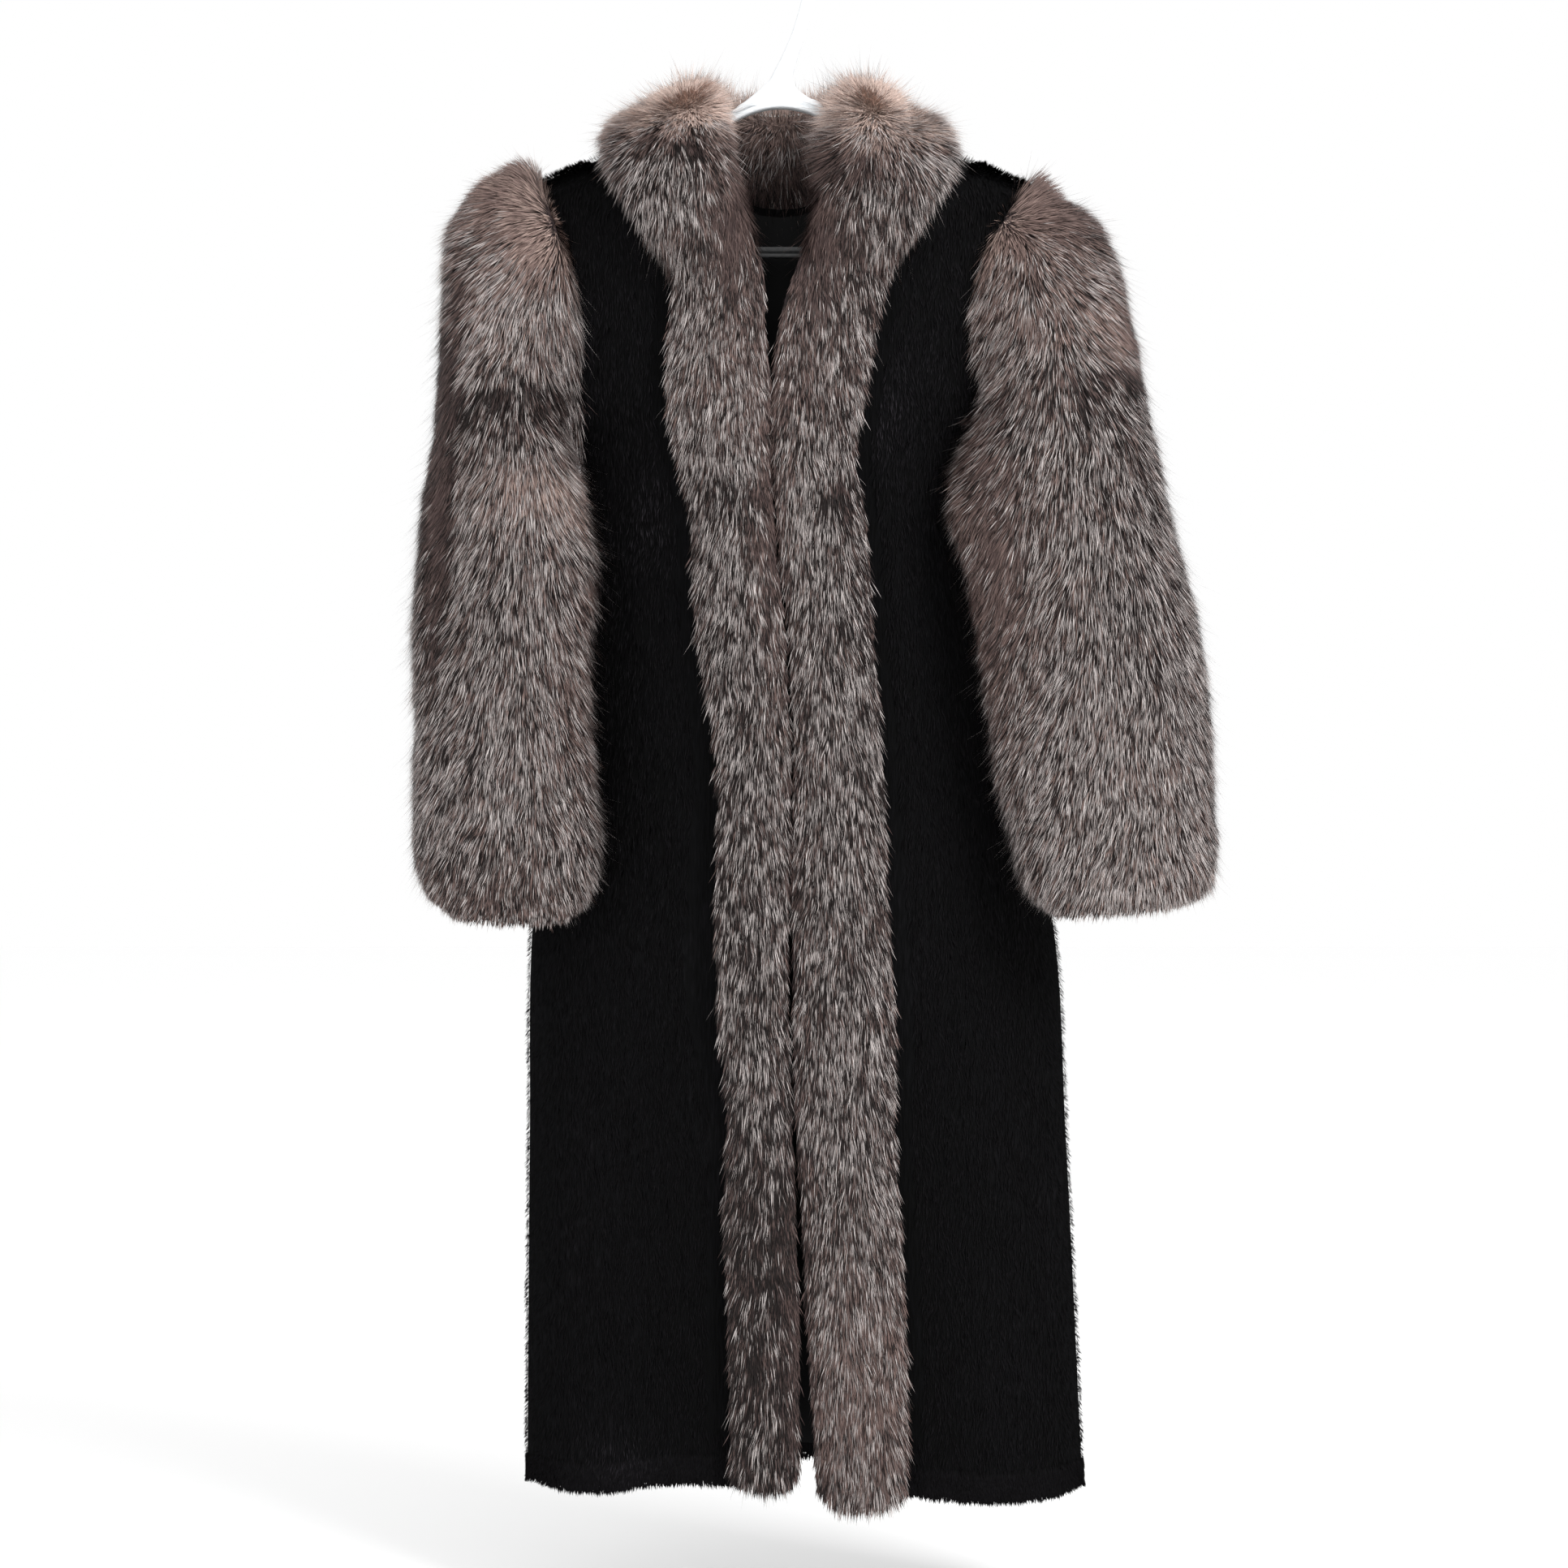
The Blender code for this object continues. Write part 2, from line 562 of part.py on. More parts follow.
def armhole_ring(x_sign, front, front_out, back, back_out, offset):
    """Points round the armhole, from the shoulder tip down the front edge and up the back edge."""
    column = 0 if x_sign < 0 else -1
    ahead = front[: ARM_ROWS + 1, -1] + offset[0] * front_out[: ARM_ROWS + 1, -1]
    behind = back[: ARM_ROWS + 1, column] + offset[1] * back_out[: ARM_ROWS + 1, column]
    ring = np.concatenate([ahead, behind[ARM_ROWS - 1 : 0 : -1]])
    for row in (0, ARM_ROWS):
        ring[row] = (ahead[row] + behind[row]) / 2
    return ring + np.array((x_sign * CUT_GAP, 0, CUT_GAP))


def crease_depth(x_sign, angle, z):
    """Depth of the sleeve's creases at an angle in degrees and a height, fading out at each end."""
    total = 0
    for side, top, bottom, place, spread, depth in zip(*CREASES.values()):
        if side != x_sign:
            continue
        along = np.clip((z - top) / (bottom - top), 0, 1)
        apart = (angle - place + 180) % 360 - 180
        total = total + depth * np.sin(np.pi * along) * np.exp(-((apart / spread) ** 2))
    return total


def sleeve_rings(x_sign, sections, angle, inset):
    """Ovals of the sleeve's section table, each drawn in by inset times its wall. The angle starts at the
    outer end and turns first to the front."""
    turn = np.radians(angle)[None, :]
    wall = (sections["wall"] * inset)[:, None]
    ends = [np.stack([sections[k + "_x"], sections[k + "_z"]], axis=-1) for k in ("out", "in")]
    middle, half = (ends[0] + ends[1]) / 2, (ends[0] - ends[1]) / 2
    length = np.linalg.norm(half, axis=-1)
    unit = half / length[:, None]
    z_at = middle[:, None, 1] + half[:, None, 1] * np.cos(turn)
    creased = crease_depth(x_sign, np.asarray(angle)[None, :], z_at) * (1 - 0.5 * inset)
    along = (length[:, None] - wall - creased) * np.cos(turn)
    fuller = np.where(np.sin(turn) > 0, np.abs(np.sin(turn)) ** SLEEVE_FULLNESS, np.sin(turn))
    across = (sections["half_y"][:, None] - wall - creased) * fuller
    x = middle[:, None, 0] + unit[:, None, 0] * along
    z = middle[:, None, 1] + unit[:, None, 1] * along
    y = sections["mid_y"][:, None] - across
    return np.stack([x_sign * x, y, z], axis=-1)


def make_sleeve(name, x_sign, side_name, front, front_out, back, back_out, finish):
    """A fox tube. Its first two rings are the armhole's edge, moved out; the rest are its ovals."""
    edges = (front, front_out, back, back_out)
    angle = 180 * np.concatenate([ARM_STEPS, 2 - ARM_STEPS[-2:0:-1]])
    turn = np.radians(angle)
    seam = armhole_ring(x_sign, *edges, (0, 0))
    rim = armhole_ring(x_sign, *edges, (SLEEVE_RIM, SLEEVE_RIM))
    puff = HEAD_PUFF + HEAD_PUFF_TOP * np.cos(turn / 2) ** 2 + HEAD_PUFF_SIDES * np.sin(turn) ** 2
    full = seam + (rim - seam) * (puff / SLEEVE_RIM)[:, None]
    full[:, 0] += x_sign * HEAD_STEP
    below = ((1 - np.cos(turn)) / 2)[:, None] ** 3
    neck = seam + HEAD_WALL * ((1 - 0.5 * below) * (x_sign, 0, 0) + below * (0, 0, 1))
    ovals = sleeve_rings(x_sign, SLEEVES[side_name], angle, 0.0)
    hollows = sleeve_rings(x_sign, SLEEVES[side_name], angle, 1.0)
    outside = np.concatenate([rim[None], full[None], ovals])
    inside = np.concatenate([seam[None], neck[None], hollows])
    tube(name, inside, outside, finish)


# ---------------------------------------------------------------- collar


def along_path(values, fractions):
    """A table's column at fractions of the way along the whole collar, smoothed through its rows."""
    return smooth(fractions, np.linspace(0, 1, len(values)), values)


def collar_rings():
    """Ovals carried along the collar's path, their width turned away from the neck and down."""
    fractions = np.linspace(0, 1, COLLAR_STATIONS)
    whole = {}
    for name, column in COLLAR.items():
        mirrored = -column if name == "x" else column
        whole[name] = along_path(np.concatenate([mirrored, column[-2::-1]]), fractions)
    centre = np.stack([whole["x"], whole["y"], whole["z"]], axis=-1)
    along = np.gradient(centre, axis=0)
    along[0], along[-1] = (0, 0, 1), (0, 0, -1)
    along /= np.linalg.norm(along, axis=-1, keepdims=True)
    x, y = centre[:, 0], centre[:, 1]
    aim = np.stack([x, 0 * x, -0.35 * np.abs(x) - 1.2 * np.clip(y, 0, None)], axis=-1)
    wide = aim - (aim * along).sum(-1, keepdims=True) * along
    wide /= np.linalg.norm(wide, axis=-1, keepdims=True)
    thick = np.cross(along, wide)
    turn = 2 * np.pi * np.arange(COLLAR_SIDES) / COLLAR_SIDES
    across = np.sign(np.cos(turn)) * np.abs(np.cos(turn)) ** 0.85
    up = np.sign(np.sin(turn)) * np.abs(np.sin(turn)) ** 0.85
    rings = (
        centre[:, None]
        + (whole["half_width"][:, None] * across)[:, :, None] * wide[:, None]
        + (whole["half_thick"][:, None] * up)[:, :, None] * thick[:, None]
    )
    rings[0, :, 2] = rings[-1, :, 2] = JOIN_Z
    return rings


def filled(name, fur, away, side, opening, finish):
    """A panel filled to the middle of the coat, with its fur side and its free edges moved out, to cut what
    lies on it. opening is the way that its edge beside the front opening moves."""
    outer = fur + CUT_GAP * away
    outer[0, :, 2] += CUT_GAP
    outer[:, 0, 0] += CUT_GAP * opening
    middle = outer.copy()
    middle[:, :, 1] = smooth(outer[:, :, 2], BODY["z"], BODY["seam_y"]) - side * PAST_MIDDLE
    return cutter(slab(name, middle, outer, finish))


# ---------------------------------------------------------------- hanger


def path_rings(points, half_wide, half_deep):
    """Ovals square to a path in the XZ plane: half_wide in that plane and half_deep in Y."""
    along = np.gradient(points, axis=0)
    along /= np.linalg.norm(along, axis=-1, keepdims=True)
    turn = 2 * np.pi * (np.arange(HANGER_SIDES) + 0.5) / HANGER_SIDES
    square_to = np.stack([-along[:, 1], along[:, 0]], axis=-1)
    wide = np.broadcast_to(half_wide, len(points))[:, None] * np.cos(turn)
    x = points[:, None, 0] + square_to[:, None, 0] * wide
    z = points[:, None, 1] + square_to[:, None, 1] * wide
    y = np.broadcast_to(half_deep, len(points))[:, None] * np.sin(turn)
    return np.stack([x, y, z], axis=-1)


def arm_points():
    """The arm's centre line from the middle to the bar: arch, straight under the shoulder seam, return."""
    slope = (TIP_Z - NECK_Z) / (TIP_X - NECK_X)
    under = (ARM_HALF_TALL + ARM_SEAT) * np.hypot(1, slope)
    x = np.linspace(NECK_X, ARM_REACH, 4)
    straight = np.stack([x, shoulder_z(x) - under], axis=-1)
    arch = np.stack([ARM_PATH["x"], ARM_PATH["z"]], axis=-1)
    back = np.stack([ARM_RETURN["x"], ARM_RETURN["z"]], axis=-1)
    right = np.concatenate([arch, straight, back])
    left = right[:0:-1] * (-1, 1)
    return np.concatenate([left, right])


def make_hanger(finish):
    """The arms' arch, joined to the stem that flares into it and to the hook, whose inner top is the origin."""
    made = loft("hanger", path_rings(arm_points(), ARM_HALF_TALL, ARM_HALF_DEEP), finish)
    turn = np.radians(np.linspace(0, HOOK_END, 18))
    centre_z = HOOK_HALF_WIDE - HOOK_RADIUS
    hook = np.stack([HOOK_RADIUS * np.cos(turn), centre_z + HOOK_RADIUS * np.sin(turn)], axis=-1)
    stem = np.stack([STEM["x"], STEM["z"]], axis=-1)
    wide = np.concatenate([STEM["half_wide"], np.full(len(hook), HOOK_HALF_WIDE)])
    deep = np.concatenate([STEM["half_deep"], np.full(len(hook), HOOK_HALF_DEEP)])
    rings = path_rings(np.concatenate([stem, hook]), wide, deep)
    boolean(made, "UNION", cutter(loft("stem_and_hook", rings, finish)))


def make_bar(finish):
    """The bar, whose ends meet the arms' ends GAP apart."""
    ends = np.array([(-BAR_HALF_LENGTH, BAR_Z), (BAR_HALF_LENGTH, BAR_Z)])
    loft("hanger_bar", path_rings(ends, BAR_HALF_TALL, BAR_HALF_DEEP), finish)


def arm_form(finish):
    """The arms a little larger, to cut the collar where they pass through it."""
    rings = path_rings(arm_points(), ARM_HALF_TALL + ARM_ROOM, ARM_HALF_DEEP + ARM_ROOM)
    return cutter(loft("arm_form", rings, finish))


# ---------------------------------------------------------------- the coat, put together

for thing in list(bpy.data.objects):
    bpy.data.objects.remove(thing, do_unlink=True)

mink = material("black_mink", "#121214", 0.75, 0.4)
satin = material("black_satin", "#0c0c0e", 0.45)
sleeve_fox = material("silver_fox_sleeve", "#7d7069", 0.8, 0.3)
border_fox = material("silver_fox_border", "#6f645f", 0.8, 0.3)
collar_fox = material("silver_fox_collar", "#8a7a6e", 0.8, 0.3)
plastic = material("moulded_plastic", "#f1f3f4", 0.35)

back_skin, back_away, back_fur = make_back(mink)
make_lining(back_skin, back_away, satin)
forms = [filled("back_form", back_fur, back_away, 1, 0, mink)]
for side_name, x_sign in (("left", -1), ("right", 1)):
    skin, away, fur = make_front("front_" + side_name, x_sign, mink)
    make_border("front_border_" + side_name, x_sign, side_name, fur, away, border_fox)
    make_sleeve("sleeve_" + side_name, x_sign, side_name, skin, away, back_skin, back_away, sleeve_fox)
    forms.append(filled("front_form_" + side_name, fur, away, -1, -x_sign, mink))

make_hanger(plastic)
make_bar(plastic)
forms.append(arm_form(plastic))

collar = loft("collar", collar_rings(), collar_fox)
for form in forms:
    boolean(collar, "DIFFERENCE", form)
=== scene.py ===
"""A full length coat of black mink with silver fox sleeves, borders and collar, on a white moulded hanger.

Metres, +Z up. The coat faces -Y, +X is to the right of someone who looks at its front, and the origin is the
top of the inside of the hanger's hook. Left and right are those of someone who looks at the coat.
"""

import bmesh
import bpy
import numpy as np
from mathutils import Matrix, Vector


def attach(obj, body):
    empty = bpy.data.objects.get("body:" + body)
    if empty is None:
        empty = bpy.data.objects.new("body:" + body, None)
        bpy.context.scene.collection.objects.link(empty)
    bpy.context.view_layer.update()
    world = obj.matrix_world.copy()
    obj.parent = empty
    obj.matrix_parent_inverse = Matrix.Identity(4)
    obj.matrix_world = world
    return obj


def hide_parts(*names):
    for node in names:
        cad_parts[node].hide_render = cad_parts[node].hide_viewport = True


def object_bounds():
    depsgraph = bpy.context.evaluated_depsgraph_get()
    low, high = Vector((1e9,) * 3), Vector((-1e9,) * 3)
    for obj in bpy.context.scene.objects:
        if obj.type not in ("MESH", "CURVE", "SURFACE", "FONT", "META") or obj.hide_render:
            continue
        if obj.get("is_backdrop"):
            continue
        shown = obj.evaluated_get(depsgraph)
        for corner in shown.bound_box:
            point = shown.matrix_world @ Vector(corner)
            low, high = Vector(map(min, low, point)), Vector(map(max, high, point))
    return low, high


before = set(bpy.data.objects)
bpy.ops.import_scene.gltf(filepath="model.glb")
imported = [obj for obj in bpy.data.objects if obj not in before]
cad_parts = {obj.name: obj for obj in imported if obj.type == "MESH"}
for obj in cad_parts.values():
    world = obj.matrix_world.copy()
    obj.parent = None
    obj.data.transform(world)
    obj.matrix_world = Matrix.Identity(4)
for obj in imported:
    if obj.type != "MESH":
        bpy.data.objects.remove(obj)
cad_low, cad_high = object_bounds()


# ---------------------------------------------------------------- mink fronts and back
# The body is let-out black mink: narrow skins sewn side by side into panels, each one sheet of leather with a
# dense pile, about 6 mm deep together. Fronts and back meet in the shoulder and side seams, and below the arms
# they hang in shallow flutes.


def table(text):
    """A table's columns by name, from a line of names and a line for each row."""
    names, *rows = (line.split() for line in text.splitlines())
    return dict(zip(names, np.array(rows, float).T))


def xyz(x, y, z):
    """Points or directions from three coordinates, each an array or one number for all."""
    return np.stack(np.broadcast_arrays(x, y, z), axis=-1)


LEATHER = 0.002
PILE = 0.0062  # leather and pile together; the hairs' ends lie over it
PILE_RISE = 0.011  # width over which the pile rises beside the border
NECK_X, NECK_Z = 0.090, -0.1765  # where the shoulder line starts, beside the neck
TIP_X, TIP_Z = 0.2155, -0.2267  # where it ends, at the top of the armhole
BACK_NECK_Z = -0.232
SHOULDER_ROLL = 0.050  # depth below the shoulder line where the coat reaches its full thickness
SEAM_WIDTH = 0.018  # how far beside the shoulder and side seams the pile is fuller or flatter
UNDERARM_Z = -0.450
HEM_SIDE_X, HEM_OPENING_X = 0.25, 0.03  # where the side seams and the fronts' edges come down to the hem
# Half widths of the body to either side, the Y of its side seams, and its skin side in front and behind
BODY = table("""z left right seam_y front_y back_y
-.15 .24 .24 0 -.045 .048
-.3 .225 .225 0 -.045 .048
-.38 .202 .202 0 -.045 .048
-.42 .192 .192 .003 -.045 .048
-.45 .174 .174 .008 -.045 .048
-.53 .178 .179 .024 -.043 .05
-.62 .187 .192 .031 -.041 .053
-.75 .2 .218 .034 -.038 .056
-.88 .212 .242 .033 -.036 .057
-1.06 .214 .252 .028 -.033 .057
-1.38 .216 .267 .022 -.03 .056""")
# Half width of the body inside the armhole
ARMHOLE = table(f"""z x
{TIP_Z} {TIP_X}
-.263 .198
-.292 .186
-.342 .178
-.39 .179
{UNDERARM_Z} .174""")
# Height of the hem
HEM = table("""x front back
-.225 -1.375 -1.372
-.15 -1.375 -1.37
-.12 -1.368 -1.366
0 -1.369 -1.36
.12 -1.377 -1.366
.2 -1.385 -1.374
.275 -1.38 -1.376""")
# Flutes: place at the hem, side (front -1, back 1), height and half width there
FLUTES = table("""x side height width
-.155 -1 .006 .026
.175 -1 .008 .03
.235 -1 .004 .018
-.14 1 .007 .03
-.035 1 .005 .026
.085 1 .008 .034
.19 1 .006 .026""")
# Inner and outer edge of each fox border, on its own side of the opening. Under the collar both are alike.
BORDER_TOPS = """z inner outer
-.1765 .055 .16
-.195 .048 .155
-.225 .035 .137
-.255 .022 .12
-.29 .0108 .1045
"""
BORDERS = {
    -1: table(BORDER_TOPS + """-.34 .01 .105
-.415 .0075 .1055
-.46 .0085 .095
-.515 .006 .0845
-.6 -.0035 .08
-.7 -.0088 .0665
-.98 -.0086 .0625
-1 -.0095 .056
-1.134 -.0155 .052
-1.29 -.0195 .052
-1.379 -.0185 .045"""),
    1: table(BORDER_TOPS + """-.34 -.004 .092
-.415 -.0062 .078
-.45 -.0072 .072
-.515 -.0048 .079
-.6 .005 .085
-.7 .0102 .0925
-.846 .0095 .0995
-.96 .0102 .1066
-1.02 .011 .1035
-1.134 .017 .11
-1.29 .027 .1155
-1.402 .037 .1175"""),
}
BORDER_OVERHANG = 0.009  # how far a border stands past the edge of the panel under it
JOIN_Z = NECK_Z + (UNDERARM_Z - NECK_Z) * 0.5**1.27  # seam between collar and border


def ramp(value):
    """The value, held between 0 and 1."""
    return np.clip(value, 0, 1)


def bell(distance):
    """exp(-distance^2)"""
    return np.exp(-(distance**2))


def smooth(at, keys, values):
    """Cubic curve through (keys, values), its slope at each key the mean of those on both sides. A value may be
    a point or a whole ring of points."""
    order = np.argsort(keys)
    keys, values = np.asarray(keys, float)[order], np.asarray(values, float)[order]
    slopes = np.gradient(values, keys, axis=0)
    at = np.clip(at, keys[0], keys[-1])
    i = np.clip(np.searchsorted(keys, at, side="right") - 1, 0, len(keys) - 2)
    wide = np.shape(at) + (1,) * (values.ndim - 1)
    span = (keys[i + 1] - keys[i]).reshape(wide)
    t = np.reshape(at - keys[i], wide) / span
    rise = values[i + 1] - values[i]
    cubic = (slopes[i] + slopes[i + 1]) * span - 2 * rise
    square = 3 * rise - (2 * slopes[i] + slopes[i + 1]) * span
    return values[i] + t * (slopes[i] * span + t * (square + t * cubic))


def shoulder_z(x):
    """Height of the shoulder line, straight from neck to tip and on past the neck."""
    return NECK_Z + (np.abs(x) - NECK_X) * (TIP_Z - NECK_Z) / (TIP_X - NECK_X)


def flutes(x, z, side):
    """Sum of bells across, growing from nothing at the chest to their full height at the hem."""
    grown = ramp((z - UNDERARM_Z) / (HEM["back"].min() - UNDERARM_Z)) ** 1.4
    total = 0
    for place, on_side, height, width in zip(*FLUTES.values()):
        total = total + (on_side == side) * height * grown * bell((x - place) / width)
    return total


def half_width(x, z):
    """From the body's middle to its side seam, on the side that x is on."""
    return np.where(x < 0, smooth(z, BODY["z"], BODY["left"]), smooth(z, BODY["z"], BODY["right"]))


def skin_y(x, z, side):
    """Skin side of the body: with t from the middle to the side seam its depth follows (1 - t^2)^(3/4), and over
    the shoulders it closes on the shoulder line as a quarter of an ellipse."""
    seam = smooth(z, BODY["z"], BODY["seam_y"])
    middle = smooth(z, BODY["z"], BODY["front_y" if side < 0 else "back_y"])
    across = ramp(1 - (x / half_width(x, z)) ** 2) ** 0.75
    drop = ramp((shoulder_z(x) - z) / SHOULDER_ROLL)
    over = np.sqrt(1 - (1 - drop) ** 2)
    return seam + (middle - seam + side * flutes(x, z, side)) * across * over


def outer_edge(x_sign, down):
    """Half width and height of a panel's outer edge: the armhole for down from 0 to 1, the side seam from 1 to 2."""
    arm, skirt = ramp(down), ramp(down - 1)
    hem = smooth(x_sign * HEM_SIDE_X, HEM["x"], HEM["front"])
    z = TIP_Z + (UNDERARM_Z - TIP_Z) * (1 - np.cos(np.pi * arm)) / 2 + (hem - UNDERARM_Z) * skirt
    return np.where(down < 1, smooth(z, ARMHOLE["z"], ARMHOLE["x"]), half_width(x_sign, z)), z


def front_net(x_sign, across, down):
    """Skin side of a front. across runs from 0 at the opening to 1 under the border's outer edge and 2 at the side;
    down runs from 0 at the shoulder to 1 at the armhole's foot and 2 at the hem. Heights go straight from edge to
    edge, and follow the hem's curve below the arm."""
    across, down = np.meshgrid(across, down)
    arm, skirt = ramp(down), ramp(down - 1)
    hem = smooth(x_sign * HEM_OPENING_X, HEM["x"], HEM["front"])
    z_in = NECK_Z + (UNDERARM_Z - NECK_Z) * arm**1.27 + (hem - UNDERARM_Z) * skirt
    x_edge, z_edge = outer_edge(x_sign, down)
    edges = BORDERS[x_sign]
    to_neck = ramp((z_in - JOIN_Z) / (NECK_Z - JOIN_Z))
    x_in = smooth(np.minimum(z_in, JOIN_Z), edges["z"], edges["inner"]) + BORDER_OVERHANG
    x_in = x_in + (NECK_X - x_in) * to_neck**1.4
    x_under = smooth(z_in, edges["z"], edges["outer"])
    z_under = z_in + (shoulder_z(edges["outer"][0]) - NECK_Z) * to_neck**1.2
    under, beside = ramp(across), np.sin(np.pi / 2 * ramp(across - 1))
    x = x_in + (x_under - x_in) * under + (x_edge - x_under) * beside
    z = z_in + (z_under - z_in) * under + (z_edge - z_under) * beside
    hem_z = smooth(x_sign * x, HEM["x"], HEM["front"])
    z = np.where(down > 1, UNDERARM_Z + (hem_z - UNDERARM_Z) * skirt, z)
    return xyz(x_sign * x, skin_y(x_sign * x, z, -1), z)


def back_net(across, down):
    """Skin side of the back: across runs from -1 at the left seam to 1 at the right one, down as for the fronts."""
    across, down = np.meshgrid(np.sin(np.pi / 2 * across), down)
    sign = np.where(across < 0, -1, 1)
    reach = {s: outer_edge(s, down) for s in (-1, 1)}
    x_edge, z_edge = (np.where(sign < 0, reach[-1][k], reach[1][k]) for k in (0, 1))
    x = across * x_edge
    top_x = np.abs(across) * TIP_X
    neckline = BACK_NECK_Z + (NECK_Z - BACK_NECK_Z) * (top_x / NECK_X) ** 2.2
    top = np.where(top_x < NECK_X, neckline, shoulder_z(top_x))
    share = (z_edge - TIP_Z) / (smooth(sign * HEM_SIDE_X, HEM["x"], HEM["front"]) - TIP_Z)
    z = top + (smooth(x, HEM["x"], HEM["back"]) - top) * share
    z += (z_edge - np.where(sign < 0, z[:, :1], z[:, -1:])) * np.abs(across) ** 6
    return xyz(x, skin_y(x, z, 1), z)


def unit(vectors):
    """Vectors brought to length 1."""
    return vectors / np.maximum(np.linalg.norm(vectors, axis=-1, keepdims=True), 1e-9)


def normals(net, away):
    """Unit normals of a net, from the cross product of its steps across and down, on the side away points to."""
    found = unit(np.cross(np.gradient(net, axis=1), np.gradient(net, axis=0)))
    return found * np.sign((found * away).sum())


SHARP_ANGLE = np.radians(55)  # a sharper turn between two faces stays an edge


def linked(name, data):
    """A new object in the scene."""
    made = bpy.data.objects.new(name, data)
    bpy.context.scene.collection.objects.link(made)
    return made


def mesh_piece(name, points, faces, finish):
    """A closed mesh of quads and triangles, its faces turned outwards."""
    mesh = bpy.data.meshes.new(name)
    mesh.from_pydata(np.asarray(points).tolist(), [], [tuple(f) for f in faces])
    shape = bmesh.new()
    shape.from_mesh(mesh)
    bmesh.ops.recalc_face_normals(shape, faces=shape.faces)
    shape.to_mesh(mesh)
    shape.free()
    mesh.shade_smooth()
    mesh.set_sharp_from_angle(angle=SHARP_ANGLE)
    mesh.materials.append(finish)
    return linked(name, mesh)


def sheet_mesh(name, inside, outside, finish, wrapped=False):
    """A sheet between two nets of the same size, closed round its edges. A wrapped net's columns go all round."""
    rows, columns = inside.shape[:2]
    at = np.arange(rows * columns).reshape(rows, columns)
    if wrapped:
        at = np.concatenate([at, at[:, :1]], axis=1)
    far = at + rows * columns
    quads = [np.stack([g[:-1, :-1], g[1:, :-1], g[1:, 1:], g[:-1, 1:]], -1).reshape(-1, 4) for g in (at, far)]
    if wrapped:
        rims = [(at[end], far[end]) for end in (0, -1)]
    else:
        round_it = [np.concatenate([g[0], g[1:, -1], g[-1, -2::-1], g[-2::-1, 0]]) for g in (at, far)]
        rims = [tuple(round_it)]
    quads += [np.stack([a[:-1], a[1:], b[1:], b[:-1]], -1) for a, b in rims]
    points = np.concatenate([inside.reshape(-1, 3), outside.reshape(-1, 3)])
    return mesh_piece(name, points, np.concatenate(quads).tolist(), finish)


def linear(hex_colour):
    """sRGB hex to the linear colour that a shader takes."""
    channels = [int(hex_colour[i : i + 2], 16) / 255 for i in (1, 3, 5)]
    return [c / 12.92 if c <= 0.04045 else ((c + 0.055) / 1.055) ** 2.4 for c in channels] + [1.0]


def add(tree, kind, inputs=(), stops="", **settings):
    """Adds a node with its settings, its inputs as values or as sockets to link, and a ramp's stops in one text,
    each a place and its colour."""
    made = tree.nodes.new(kind)
    for name, value in settings.items():
        setattr(made, name, value)
    for key, value in dict(inputs).items():
        if isinstance(value, bpy.types.NodeSocket):
            tree.links.new(value, made.inputs[key])
        else:
            made.inputs[key].default_value = value
    words = stops.split()
    for i, place in enumerate(map(float, words[::2])):
        element = made.color_ramp.elements[i] if i < 2 else made.color_ramp.elements.new(place)
        element.position = place
        element.color = linear(words[2 * i + 1])
    return made


def new_material(name, **constants):
    """A material with a Principled shader, its constants set on the shader's own sockets."""
    made = bpy.data.materials.new(name)
    made.use_nodes = True
    shader = made.node_tree.nodes["Principled BSDF"]
    for socket, value in constants.items():
        shader.inputs[socket.replace("_", " ")].default_value = value
    return made, made.node_tree, shader


def grained(name, noises, stops, strength, depth, **constants):
    """A material coloured by the product of its noises and raised by the first. Each noise is its grains in a metre
    along X, Y and Z, and its detail."""
    made, tree, shader = new_material(name, **constants)
    place, found = add(tree, "ShaderNodeTexCoord").outputs["Object"], []
    for scale, detail in noises:
        at = add(tree, "ShaderNodeMapping", {"Vector": place, "Scale": scale}).outputs[0]
        found.append(add(tree, "ShaderNodeTexNoise", {"Vector": at, "Scale": 1.0, "Detail": detail}).outputs[0])
    shade = found[0]
    for other in found[1:]:
        shade = add(tree, "ShaderNodeMath", {0: shade, 1: other}, operation="MULTIPLY").outputs[0]
    colour = add(tree, "ShaderNodeValToRGB", {"Fac": shade}, stops)
    bump = add(tree, "ShaderNodeBump", {"Height": found[0], "Strength": strength, "Distance": depth})
    tree.links.new(colour.outputs[0], shader.inputs["Base Color"])
    tree.links.new(bump.outputs[0], shader.inputs["Normal"])
    return made


def hair_material(name, bands, roughness, gloss):
    """Hair coloured by its own map: along it from root to tip, and by its kind, from 0 to 1. Each band is a place
    along the hair with the kinds and their colours there; between the bands the colours run into each other."""
    made, tree, shader = new_material(name, Roughness=roughness, Specular_IOR_Level=gloss)
    where = add(tree, "ShaderNodeUVMap", uv_map="OFBake")
    split = add(tree, "ShaderNodeSeparateXYZ", {0: where.outputs[0]})
    colour, before = None, None
    for place, stops in bands.items():
        here = add(tree, "ShaderNodeValToRGB", {"Fac": split.outputs["Y"]}, stops).outputs["Color"]
        if colour is not None:
            span = {"Value": split.outputs["X"], "From Min": before, "From Max": place}
            share = add(tree, "ShaderNodeMapRange", span, interpolation_type="SMOOTHSTEP")
            both = {"Factor": share.outputs[0], "A": colour, "B": here}
            here = add(tree, "ShaderNodeMix", both, data_type="RGBA").outputs["Result"]
        colour, before = here, place
    tree.links.new(colour, shader.inputs["Base Color"])
    return made


